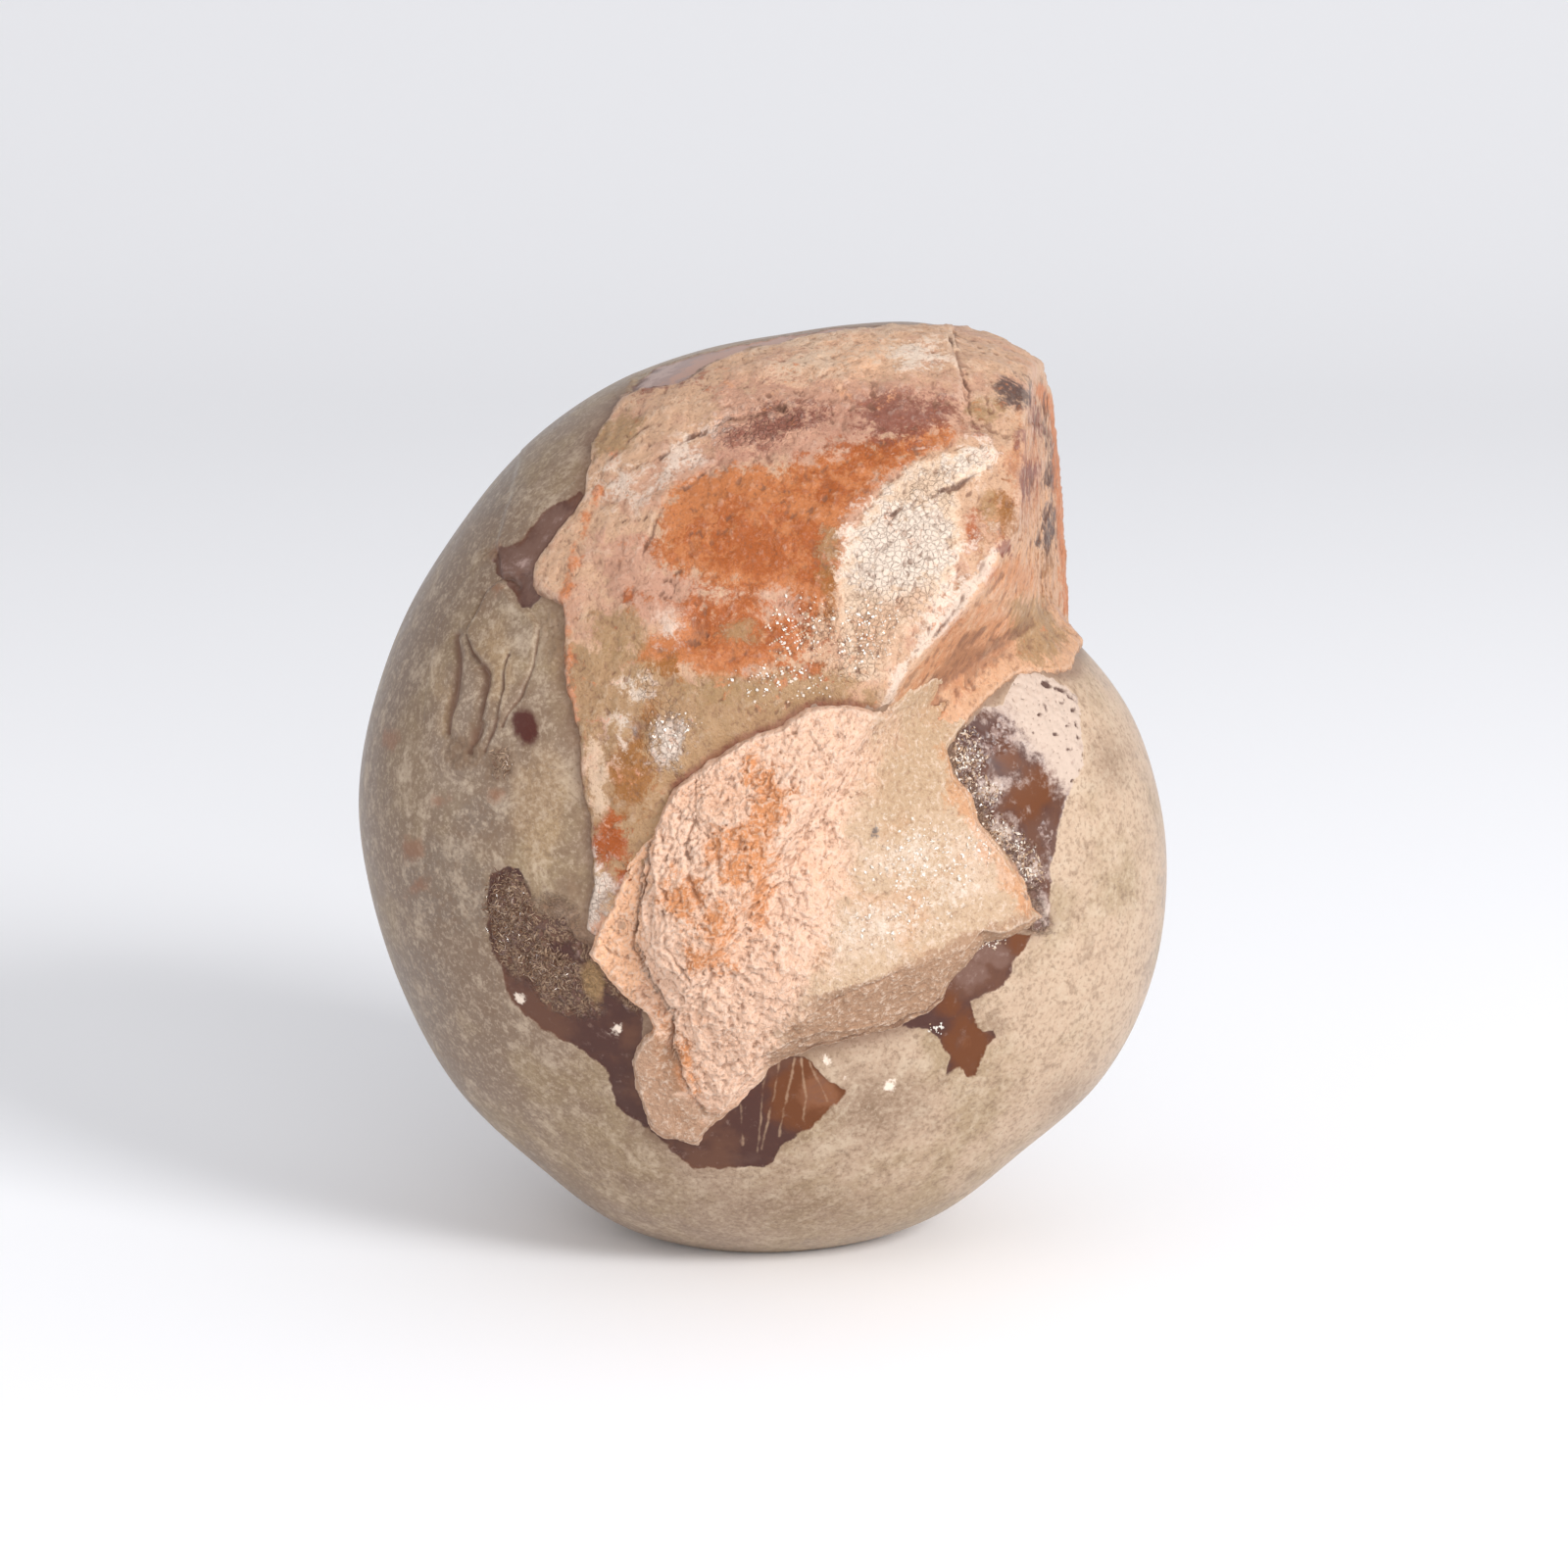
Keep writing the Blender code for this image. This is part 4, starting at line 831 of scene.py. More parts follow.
def chunk_surface(d):
    """The lump of rock: its faces, broken into chips and crumbs, with a stepped edge that has painted shade
    along it.
    """
    base, _, _ = coil_range(d)
    p = COIL_CENTRE + base[:, None] * d
    wander = ragged(p, sizes().ragged_edge / MM)
    chipped = wander + ragged(2.5 * p, 0.35)
    height = np.zeros(len(d))
    # a point's place on the sheet shifts with its height, so the height is found in three steps
    for blend in (0.5, 0.5, 1.0):
        ab = on_sheet(COIL_CENTRE + (base + np.maximum(height, 0))[:, None] * d) + chipped
        new, inside = chunk_height(ab, p)
        height = height + (new - height) * blend
    q = p + wander[:, [0, 1, 0]] * 0.9
    drift = 1.6 * ROUGHNESS.broken(p, 6, 4, 27, 0.6)
    left, right, under, _ = (face_height(ab, face) for face in CHUNK_FACES)
    left_side = ramp(right - left + drift, -1.6, 1.6)
    # the under face, which the material paints darker as shade
    under_face_shade = ramp(right - under, -0.2, 0.4) * (1 - left_side)
    crumbly = 0.3 + 0.7 * left_side
    warp = 0.9 * np.stack([ROUGHNESS.broken(p, 2.2, 3, k, 0.6) for k in (101, 107, 113)], 1)
    tilt, level, _ = ROUGHNESS.chips(q + warp, 2.4, 2)
    mid_tilt, mid_level, _ = ROUGHNESS.chips(q + 0.5 * warp, 1.2, 5)
    fine_tilt, fine_level, _ = ROUGHNESS.chips(q + 0.3 * warp, 0.62, 8)
    grain = sizes().grain_height / MM
    flakes = 2.2 * ROUGHNESS.broken(q + 0.6 * warp, 5.5, 5, 121, 0.62) + 0.3 * np.clip(inside, 0, 12)
    flakes = 0.5 * (np.floor(flakes / 0.5) + ramp(flakes / 0.5 % 1, 0.0, 0.16))
    relief = 0.55 * (flakes - 0.3 * np.clip(inside, 0, 12)) * crumbly
    relief += ((0.14 * tilt + 0.16 * level) * crumbly
               + 0.3 * ROUGHNESS.broken(p, 4, 5, 21, 0.62) * (0.4 + 0.6 * crumbly))
    relief += grain * crumbly * (0.8 * mid_level + 0.8 * mid_tilt)
    relief += grain * (0.35 + 0.65 * crumbly) * (0.45 * fine_level + 0.8 * fine_tilt)
    relief += grain * 0.5 * ROUGHNESS.broken(p, 0.8, 2, 24, 0.7)
    crack = np.zeros(len(d))
    uneven = 1 + 0.8 * ROUGHNESS.lumps(p, 2.5, 44)
    crack_ab = ab + ragged(p * 2.2, 0.5)
    for line, depth in CHUNK_CRACKS:
        crack = np.maximum(crack, depth / 0.45 * line_glow(crack_ab, line, 0.22) * uneven)
    relief -= 0.5 * crack
    upper = edge_distance(ab, UPPER_LAYER)
    relief *= 1 - 0.7 * ramp(-upper, -0.3, 0.5) * ramp(-ab[:, 1], 29, 32)
    height = height + relief * ramp(inside, 0, 0.8)
    stain_ab = ab + ragged(p, 1.2)
    stains = {name: stain_depth(stain_ab, shapes) for name, (_, _, _, shapes) in CHUNK_STAINS.items()}
    stains |= {
        "left_side": left_side,
        "under_face_shade": under_face_shade,
        # painted shade along the foot of the upper layer's step on the crumbly face
        "shade_at_ledge": np.exp(-((upper + 0.1) / 0.45) ** 2) * left_side,
        "edge": np.exp(-(np.clip(inside, 0, None) / 0.7) ** 2),
        "crack": crack,
        "grey_spot": blots(ab, GREY_SPOT),
        "glaze_and_sheen": blots(stain_ab, GLAZE),
    }
    return COIL_CENTRE + (base + height)[:, None] * d, stains


# ---- meshes ----
def new_piece(name, points, faces, stains, material):
    """Put a piece's points and faces into a mesh, with its stains on every point."""
    mesh = bpy.data.meshes.new(name)
    mesh.from_pydata((points * MM).tolist(), [], faces)
    for stain, value in stains.items():
        mesh.attributes.new(stain, "FLOAT", "POINT").data.foreach_set("value", value.astype(np.float32))
    mesh.shade_smooth()
    mesh.materials.append(material)
    piece = bpy.data.objects.new(name, mesh)
    bpy.context.scene.collection.objects.link(piece)
    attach(piece, "root")
    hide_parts(NODE)
    return piece


def cavity(points, quads, passes):
    """Millimetres each point lies below the ground round it: its neighbours' mean, taken several times."""
    height = np.linalg.norm(points - COIL_CENTRE, axis=1)
    share = np.bincount(quads.ravel(), minlength=len(points))
    ground = height
    for _ in range(passes):
        ground = np.bincount(quads.ravel(), np.repeat(ground[quads].mean(1), 4), len(points)) / share
    return ground - height


def closed_patch(name, patch, step, keep, surface, material):
    """A gridded patch of the surface with a fan of triangles closing it at a point inside the fossil."""
    toward, wide, high, apex_out = patch
    d, quads = patch_directions(toward, wide, high, step / MM / PATCH_RADIUS)
    d, quads = trimmed(d, quads, keep(d))
    points, stains = surface(d)
    # how deep each point lies in a small and in a broad hollow: the materials paint shade in the hollows and
    # highlights on the crests with these
    stains |= {"fine_shade_and_highlight": cavity(points, quads, 3), "broad_hollow_shade": cavity(points, quads, 30)}
    apex = COIL_CENTRE + apex_out * np.array(toward) / np.linalg.norm(toward)
    points = np.concatenate([points, apex[None]])
    stains = {stain: np.append(value, value[0]) for stain, value in stains.items()}
    new_piece(name, points, quads.tolist() + closing_fan(quads, len(d)).tolist(), stains, material)


def worn_is_here(d):
    """Where the fine piece of the worn shell lies: its worn places, and a little way under the rock."""
    _, (cover, _, worn) = shell_layout(d)
    return (worn > -WORN_MARGIN) & (cover < WORN_UNDER_ROCK)


def cast_is_here(d):
    """Where the cast lies, with a margin, less what the lump of rock hides."""
    base, inside_face, _ = coil_range(d)
    ab = on_sheet(COIL_CENTRE + base[:, None] * d)
    return (skin_cover(d, ab, inside_face) > -CAST_MARGIN) & (chunk_cover(d, ab) < CAST_UNDER_CHUNK)


def chunk_is_here(d):
    """Where the lump of rock lies, with a margin that runs into the fossil."""
    base, _, _ = coil_range(d)
    ab = on_sheet(COIL_CENTRE + (base + 1.0)[:, None] * d)
    return edge_distance(ab, CHUNK) > -CHUNK_MARGIN


# ---- crystals ----
def crystal_specks(points, normals, sizes_mm, slender, source):
    """Small two-ended crystals: six corners each, stretched and turned at random, almost half sunk."""
    corner = np.array([(1, 0, 0), (0, 1, 0), (-1, 0, 0), (0, -1, 0), (0, 0, 1.5), (0, 0, -1.5)])
    face = np.array([(0, 1, 4), (1, 2, 4), (2, 3, 4), (3, 0, 4), (1, 0, 5), (2, 1, 5), (3, 2, 5), (0, 3, 5)])
    count = len(points)
    turn = np.linalg.qr(source.normal(size=(count, 3, 3)))[0]
    turn[:, :, 0] *= np.sign(np.linalg.det(turn))[:, None]
    stretch = source.uniform(0.6, 1.2, (count, 1, 3)) * sizes_mm[:, None, None]
    stretch = stretch * (slender, slender, 1 / slender ** 0.5)
    middle = points + 0.1 * sizes_mm[:, None] * normals
    placed = (corner * stretch) @ turn.transpose(0, 2, 1) + middle[:, None]
    faces = (face + 6 * np.arange(count)[:, None, None]).reshape(-1, 3)
    return placed.reshape(-1, 3), faces


def shared_material(name):
    """A material that an earlier piece has made."""
    material = bpy.data.materials.get(name)
    if material is None:
        raise RuntimeError(f"the piece that makes {name} comes first")
    return material


def read_piece(name):
    """A finished piece's points and normals in millimetres, and a way to read its stains."""
    piece = bpy.data.objects.get(name)
    if piece is None:
        raise RuntimeError(f"{name} is made first")
    mesh = piece.data
    points = np.empty(len(mesh.vertices) * 3)
    mesh.vertices.foreach_get("co", points)
    normals = np.empty(len(mesh.vertices) * 3, np.float32)
    mesh.vertex_normals.foreach_get("vector", normals)

    def stain(key):
        value = np.empty(len(mesh.vertices), np.float32)
        mesh.attributes[key].data.foreach_get("value", value)
        return value

    return points.reshape(-1, 3) / MM, normals.reshape(-1, 3), stain


# ---- materials ----
def linear(hex_colour):
    """An sRGB hex value as linear red, green, blue."""
    channel = np.array([int(hex_colour[k:k + 2], 16) for k in (1, 3, 5)]) / 255
    return tuple(np.where(channel <= 0.04045, channel / 12.92, ((channel + 0.055) / 1.055) ** 2.4))


def per_mm(size):
    """Texture scale, on coordinates in metres, of a pattern whose repeat is `size` millimetres."""
    return 1 / (size * MM)


def add_node(tree, kind, inputs=None, **settings):
    """Add a node with its settings; each input takes a value or the socket that feeds it."""
    node = tree.nodes.new(kind)
    for name, value in settings.items():
        setattr(node, name, value)
    for name, value in (inputs or {}).items():
        if isinstance(value, bpy.types.NodeSocket):
            tree.links.new(value, node.inputs[name])
        else:
            node.inputs[name].default_value = value
    return node


def new_material(name, grains):
    """An empty material and its patterns by name: the place, and each grain's noise.

    A grain is its repeat in millimetres, its detail, its roughness and its twist. The real stone's finest
    grain is under 0.1 mm: "fine" and "sand" are as coarse as they need to be to show."""
    material = bpy.data.materials.new(name)
    material.use_nodes = True
    tree = material.node_tree
    tree.nodes.clear()
    pattern = {"place": add_node(tree, "ShaderNodeTexCoord").outputs["Object"]}
    for grain, (repeat, detail, rough, twist) in grains.items():
        pattern[grain] = add_node(tree, "ShaderNodeTexNoise",
                                  {"Vector": pattern["place"], "Scale": per_mm(repeat), "Detail": detail,
                                   "Roughness": rough, "Distortion": twist}).outputs["Fac"]
    return material, tree, pattern


def frayed(tree, stain, grain, amount):
    """A stain's own attribute with its edge broken up by grain: stain + amount x (grain - a half)."""
    value = add_node(tree, "ShaderNodeAttribute", attribute_name=stain).outputs["Fac"]
    away = add_node(tree, "ShaderNodeMath", {0: grain, 1: -0.5}, operation="ADD").outputs[0]
    return add_node(tree, "ShaderNodeMath", {0: away, 1: amount, 2: value},
                    operation="MULTIPLY_ADD").outputs[0]


def layered(tree, pattern, under, layers):
    """A colour covered with others, the lowest first.

    A layer is its colour; what it follows, as a pattern's name or as (stain, the grain that frays its edge,
    by how much); where that starts to cover and where it covers fully; and how strong the full cover is."""
    colour = (*under, 1.0)
    for tint_here, follows, low, high, *most in layers:
        if isinstance(follows, tuple):
            stain, grain, amount = follows
            follows = frayed(tree, stain, pattern[grain], amount)
        else:
            follows = pattern[follows]
        cover = add_node(tree, "ShaderNodeMapRange", {"Value": follows, "From Min": low, "From Max": high,
                                                      "To Max": most[0] if most else 1.0},
                         interpolation_type="SMOOTHSTEP").outputs["Result"]
        if not isinstance(tint_here, bpy.types.NodeSocket):
            tint_here = (*tint_here, 1.0)
        colour = add_node(tree, "ShaderNodeMix", {0: cover, 6: colour, 7: tint_here},
                          data_type="RGBA").outputs[2]
    return colour


def own_stains(colours, stains, grain):
    """A table of stains as layers, each edge frayed over about the width of its fade."""
    return [(getattr(colours, tint_name), (name, grain, 12.0 * soft), -soft, soft, most)
            for name, (tint_name, soft, most, _) in stains.items()]


def finish_material(material, tree, colour, roughness, bumps, coat, coat_roughness, ior):
    """Add the shader. A bump is its height, strength and depth in millimetres, below 0 where it is a dent."""
    last = {}
    for height, strength, depth in bumps:
        bump = add_node(tree, "ShaderNodeBump", {"Height": height, "Strength": strength,
                                                 "Distance": abs(depth) * MM, **last}, invert=depth < 0)
        last = {"Normal": bump.outputs[0]}
    shader = add_node(tree, "ShaderNodeBsdfPrincipled",
                      {"Base Color": colour, "Roughness": roughness, **last, "Coat Weight": coat,
                       "Coat Roughness": coat_roughness, "IOR": ior})
    add_node(tree, "ShaderNodeOutputMaterial", {"Surface": shader.outputs[0]})
    return material


def polished_shell_material(c):
    """Fossil shell turned to calcite, ground and polished: mottled tan with a soft wax gloss.

    Where the shell is polished through, dark clear calcite shows: near-black brown to amber and glassy."""
    material, tree, pattern = new_material("polished_calcite_shell", {
        "cloud": (15, 5, 0.62, 0), "mottle": (4.0, 8, 0.70, 0.4), "fleck": (1.5, 5, 0.70, 0),
        "fine": (0.55, 2, 0.60, 0), "fibre": (2.1, 4, 0.65, 2.5)})
    mottle, fleck = pattern["mottle"], pattern["fleck"]
    pattern["across"] = add_node(tree, "ShaderNodeSeparateXYZ", {"Vector": pattern["place"]}).outputs["X"]
    pattern["brown"] = frayed(tree, "brown", fleck, 0.8)
    pattern["rough_shell"] = frayed(tree, "rough", fleck, 4.0)
    off_middle = add_node(tree, "ShaderNodeMath", {0: pattern["fibre"], 1: -0.5}, operation="ADD").outputs[0]
    off_middle = add_node(tree, "ShaderNodeMath", {0: off_middle}, operation="ABSOLUTE").outputs[0]
    crusty = frayed(tree, "crust", mottle, 6.0)
    rough = add_node(tree, "ShaderNodeMath", {0: crusty, 1: pattern["rough_shell"]},
                     operation="MAXIMUM").outputs[0]
    for name, value, low, high in (("strand", off_middle, 0.08, 0.015),
                                   ("gritty", frayed(tree, "gritty", mottle, 5.0), -0.2, 0.8),
                                   ("grains", frayed(tree, "grains", mottle, 6.0), -0.4, 0.8),
                                   ("glass", pattern["brown"], -0.1, 0.2), ("rough", rough, -0.1, 0.3)):
        pattern[name] = add_node(tree, "ShaderNodeMapRange",
                                 {"Value": value, "From Min": low, "From Max": high}).outputs[0]
    for name, one, other in (("fibres", "strand", "gritty"), ("pale_grains", "fleck", "grains"),
                             ("white_grains", "fine", "grains")):
        pattern[name] = add_node(tree, "ShaderNodeMath", {0: pattern[one], 1: pattern[other]},
                                 operation="MULTIPLY").outputs[0]
    crust = layered(tree, pattern, c.crust_cream, [(c.calcite_mauve, "fleck", 0.56, 0.70, 0.4)])
    calcite = layered(tree, pattern, c.calcite_brown, [
        (c.calcite_purple_and_shade, "cloud", 0.44, 0.58),
        (c.calcite_amber, ("amber", "mottle", 4.0), -0.6, 1.4),
        (c.shell_rust, ("amber", "mottle", 6.0), 2.8, 4.6, 0.7),
        (c.calcite_purple_and_shade, ("purple", "mottle", 5.0), -0.4, 1.0, 0.8),
        (c.calcite_haze, "mottle", 0.54, 0.72, 0.4),
        (c.calcite_haze, "fleck", 0.56, 0.72, 0.3),
        (c.calcite_rose, ("haze", "mottle", 4.0), -0.4, 0.8, 0.8),
        (c.calcite_mauve, ("haze", "fleck", 14.0), 0.8, 3.2, 0.3),
        (c.calcite_milk, ("haze", "mottle", 5.0), 0.9, 1.9, 0.85),
        (c.calcite_mauve, ("haze", "fleck", 4.0), 2.0, 2.6, 0.8),
        (c.cast_pink, ("haze", "fleck", 4.0), 3.0, 3.5, 0.5),
        (c.grit_brown, "gritty", 0.0, 1.0, 0.6),
        (c.calcite_haze, ("gritty", "mottle", 14.0), 0.6, 3.4, 0.6),
        (c.calcite_mauve, ("grit", "fleck", 1.4), 0.10, 0.5, 0.6),
        (c.grit_pale, "fibres", 0.3, 0.9, 0.6),
        (c.calcite_haze, "grains", 0.0, 1.0, 0.5),
        (c.calcite_mauve, "pale_grains", 0.46, 0.62, 0.5),
        (c.grit_white, "white_grains", 0.50, 0.64, 0.5),
        (c.grit_white, ("crust", "fleck", 11.0), -1.8, 1.4, 0.7),
        (crust, ("crust", "fleck", 5.0), -0.5, 1.3),
        # painted shade in the small hollows of the brown calcite
        (c.calcite_purple_and_shade, ("fine_shade_and_highlight", "fine", 0.06), 0.04, 0.12, 0.6),
        (c.calcite_purple_and_shade, ("hole", "fleck", 0.8), -0.1, 0.2, 0.9),
        (c.grit_pale, ("pale_line", "fleck", 2.5), 0.2, 1.3, 0.55),
        (c.cast_olive, ("island", "fleck", 1.8), 0.0, 0.9, 0.9)])
    # greyer and darker towards the left: partly the shell's own greyer tone, partly painted shade on the side
    # away from the key light
    colour = layered(tree, pattern, c.shell_left_grey_and_shade, [
        (c.shell_tan, "across", -0.050, 0.040),
        (c.shell_olive, "cloud", 0.46, 0.66, 0.7),
        (c.shell_grey, ("grey", "mottle", 5.0), -0.6, 2.2, 0.6),
        (c.shell_warm, ("tan", "mottle", 5.0), -0.6, 1.4, 0.5),
        (c.shell_dark, ("umber", "mottle", 8.0), -1.0, 3.0, 0.5),
        (c.shell_pale, "mottle", 0.50, 0.66, 0.5),
        (c.shell_dark, "mottle", 0.48, 0.34, 0.5),
        (c.shell_pale, "fleck", 0.52, 0.66, 0.4),
        (c.shell_dark, "fleck", 0.47, 0.33, 0.5),
        (c.shell_pale, "fine", 0.53, 0.66, 0.3),
        (c.shell_dark, "fine", 0.47, 0.34, 0.45),
        (c.shell_rust, ("rust", "fleck", 3.0), -0.3, 1.0, 0.6),
        # painted shade on the shell beside the rock that stands over it
        (c.shell_crack_dirt_and_shade, ("shade_beside_rock", "fleck", 0.8), 0.1, 0.85, 0.6),
        (c.grit_brown, ("gritty", "mottle", 6.0), -0.6, 1.2, 0.6),
        (c.shell_dark, "rough_shell", -0.2, 0.8, 0.5),
        # painted shade in the shell's small hollows
        (c.shell_crack_dirt_and_shade, ("fine_shade_and_highlight", "fine", 0.06), 0.03, 0.12, 0.5),
        (calcite, "brown", -0.08, 0.12),
        (c.red_brown, ("red_spot", "fleck", 2.0), -0.1, 0.9, 0.95),
        (c.cast_white_and_highlight, ("pale_spot", "fleck", 3.4), 0.0, 0.5),
        (c.shell_crack_dirt_and_shade, ("crack", "fleck", 1.6), 0.15, 1.1, 0.75)])
    polish = add_node(tree, "ShaderNodeMapRange", {"Value": mottle, "From Min": 0.35, "From Max": 0.65,
                                                   "To Min": 0.30, "To Max": 0.45}).outputs[0]
    for where, roughness in (("glass", 0.34), ("rough", 0.65)):
        polish = add_node(tree, "ShaderNodeMix", {0: pattern[where], 2: polish, 3: roughness},
                          data_type="FLOAT").outputs[0]
    bumps = [(mottle, 0.2, 0.12), (pattern["fibres"], 0.8, 0.25)]
    return finish_material(material, tree, colour, polish, bumps, 0.05, 0.2, 1.38)


def cast_material(c):
    """Mud that filled the whorl, now limestone stained by iron, freed of its shell and lightly waxed.

    Orange, cream and maroon fields run into each other, with dirt between the grains and a broken gloss.
    Shade is painted in its hollows, along its edge and above the lump of rock; highlights on its crests."""
    material, tree, pattern = new_material("iron_stained_limestone_cast", {
        "cloud": (9, 6, 0.65, 0), "mottle": (2.8, 8, 0.75, 0.4), "crumb": (1.3, 5, 0.75, 0),
        "sand": (0.5, 3, 0.7, 0)})
    grain = add_node(tree, "ShaderNodeMath", {0: pattern["crumb"], 1: 0.6, 2: -0.30},
                     operation="MULTIPLY_ADD").outputs[0]
    grain = add_node(tree, "ShaderNodeMath", {0: pattern["mottle"], 1: grain}, operation="ADD").outputs[0]
    seam = add_node(tree, "ShaderNodeTexVoronoi", {"Vector": pattern["place"], "Scale": per_mm(0.75)},
                    feature="DISTANCE_TO_EDGE").outputs["Distance"]
    seam = add_node(tree, "ShaderNodeMapRange", {"Value": seam, "From Min": 0.16, "From Max": 0.0}).outputs[0]
    beaded = add_node(tree, "ShaderNodeMapRange", {"Value": frayed(tree, "beads", grain, 8.0),
                                                   "From Min": -0.5, "From Max": 1.5}).outputs[0]
    seam = add_node(tree, "ShaderNodeMath", {0: seam, 1: beaded}, operation="MULTIPLY").outputs[0]
    pattern |= {"grain": grain, "bead_seam": seam}
    colour = layered(tree, pattern, c.cast_tan, [
        (c.cast_pink, "cloud", 0.46, 0.60, 0.7),
        (c.cast_cream, "mottle", 0.50, 0.62, 0.5),
        *own_stains(c, CAST_STAINS, "grain"),
        (c.cast_rim, ("rim", "grain", 3.0), 0.2, 0.8, 0.95),
        (c.cast_shadow, "bead_seam", 0.3, 1.2, 0.35),
        (c.cast_white_and_highlight, "crumb", 0.54, 0.68, 0.10),
        (c.cast_white_and_highlight, "sand", 0.52, 0.68, 0.08),
        (c.cast_white_and_highlight, ("streak", "sand", 0.8), 0.30, 0.8, 0.20),
        # painted highlight on the cast's small crests
        (c.cast_white_and_highlight, ("fine_shade_and_highlight", "sand", -0.10), -0.03, -0.12, 0.14),
        (c.cast_shadow, "crumb", 0.44, 0.32, 0.35),
        (c.cast_shadow, "sand", 0.46, 0.30, 0.45),
        # painted shade in the cast's small and broad hollows
        (c.cast_shadow, ("fine_shade_and_highlight", "sand", 0.10), 0.03, 0.13, 0.5),
        (c.cast_shadow, ("broad_hollow_shade", "mottle", 0.3), 0.10, 0.38, 0.45),
        (c.crevice_dirt_and_shade, ("crack", "sand", 1.2), 0.3, 1.1, 0.75),
        # painted shade along the cast's edge
        (c.crevice_dirt_and_shade, ("edge", "crumb", 2.4), 0.5, 1.3, 0.6),
        # painted shade above the lump of rock's top edge
        (c.cast_maroon_and_shade, ("shade_above_rock", "sand", 1.2), 0.3, 1.2, 0.75)])
    wax = add_node(tree, "ShaderNodeMapRange", {"Value": pattern["mottle"], "From Min": 0.35,
                                                "From Max": 0.65, "To Min": 0.32, "To Max": 0.62}).outputs[0]
    bumps = [(pattern["mottle"], 0.8, 0.5), (pattern["crumb"], 0.7, 0.35), (seam, 0.6, -0.25),
             (pattern["sand"], 0.6, 0.2)]
    return finish_material(material, tree, colour, wax, bumps, 0.06, 0.2, 1.37)


def chunk_material(c):
    """Marly limestone, freshly broken and dry: pink and crumbly on one face, beige and firm on the other.
    Shade is painted on its under face, in its hollows and along its ledge; highlights on its crests, a pale
    sheen on its glassy places.
    """
    material, tree, pattern = new_material("broken_marly_limestone", {
        "cloud": (7, 6, 0.65, 0), "mottle": (2.6, 7, 0.75, 0.5), "crumb": (1.0, 4, 0.75, 0),
        "sand": (0.5, 2, 0.7, 0)})
    pattern["glaze_and_sheen"] = frayed(tree, "glaze_and_sheen", pattern["crumb"], 18.0)
    colour = layered(tree, pattern, c.rock_beige, [
        (c.rock_pink, ("left_side", "mottle", 1.6), 0.1, 0.9),
        # painted shade: the under face is coloured darker, here and in under_shade
        (c.rock_tan_and_under_shade, ("under_face_shade", "mottle", 1.0), 0.2, 0.8, 0.8),
        (c.rock_orange, "cloud", 0.52, 0.66, 0.25),
        *own_stains(c, CHUNK_STAINS, "mottle"),
        (c.rock_white_and_highlight, "crumb", 0.52, 0.66, 0.45),
        (c.rock_dirt_and_shade, "crumb", 0.45, 0.33, 0.25),
        # painted highlight on small crests, painted shade in small and broad hollows
        (c.rock_white_and_highlight, ("fine_shade_and_highlight", "sand", -0.08), -0.02, -0.09, 0.3),
        (c.rock_dirt_and_shade, ("fine_shade_and_highlight", "sand", 0.08), 0.02, 0.12, 0.22),
        (c.rock_dirt_and_shade, ("broad_hollow_shade", "mottle", 0.3), 0.08, 0.35, 0.4),
        # painted shade along the ledge
        (c.crevice_dirt_and_shade, ("shade_at_ledge", "sand", 1.2), 0.7, 1.3, 0.4),
        (c.crevice_dirt_and_shade, ("crack", "sand", 1.6), 0.45, 1.3, 0.6),
        (c.rock_dirt_and_shade, "sand", 0.44, 0.30, 0.3),
        (c.rock_white_and_highlight, "sand", 0.54, 0.70, 0.25),
        (c.grey, ("grey_spot", "sand", 1.6), 0.0, 0.5, 0.9),
        # painted sheen: the glassy places are coloured paler
        (c.crystal_white_and_sheen, "glaze_and_sheen", 0.8, 2.6, 0.15)])
    dry = add_node(tree, "ShaderNodeMapRange", {"Value": pattern["glaze_and_sheen"], "From Min": 0.6, "From Max": 2.0,
                                                "To Min": 0.85, "To Max": 0.42}).outputs[0]
    bumps = [(pattern["crumb"], 0.7, 0.3), (pattern["sand"], 0.8, 0.22)]
    return finish_material(material, tree, colour, dry, bumps, 0.0, 0.3, 1.4)


def crystal_material(c):
    """Tiny broken faces of clear calcite: white and glassy, browner in the dark patches."""
    material, tree, pattern = new_material("calcite_crystal", {"cloud": (2.0, 2, 0.5, 0)})
    pattern["brown"] = add_node(tree, "ShaderNodeAttribute", attribute_name="brown").outputs["Fac"]
    colour = layered(tree, pattern, c.crystal_white_and_sheen, [(c.cast_cream, "cloud", 0.45, 0.65),
                                                      (c.grit_pale, "brown", 0.1, 0.55),
                                                      (c.grit_brown, "brown", 0.55, 1.0)])
    return finish_material(material, tree, colour, 0.12, [(pattern["cloud"], 0.1, 0.05)], 0.5, 0.05, 1.6)


def paper_material(c):
    """Matt white card, pressed flat: even and without a gloss. Its fibres are coarser than real ones."""
    material, tree, pattern = new_material("matt_white_card", {"fibre": (0.4, 2, 0.5, 0)})
    bumps = [(pattern["fibre"], 0.05, 0.02)]
    return finish_material(material, tree, (*c.card, 1.0), 0.9, bumps, 0.0, 0.3, 1.5)


# ---- what a user would change ----
def length(name, description, millimetres):
    """A length to be changed by a user, its default given in millimetres."""
    return bpy.props.FloatProperty(name=name, description=description, default=millimetres * MM, min=0.0,
                                   unit="LENGTH", precision=5)


def tint(name, description, hex_colour):
    """A colour to be changed by a user, its default given as an sRGB hex value."""
    return bpy.props.FloatVectorProperty(name=name, description=description, default=linear(hex_colour),
                                         size=3, min=0.0, max=1.0, subtype="COLOR")


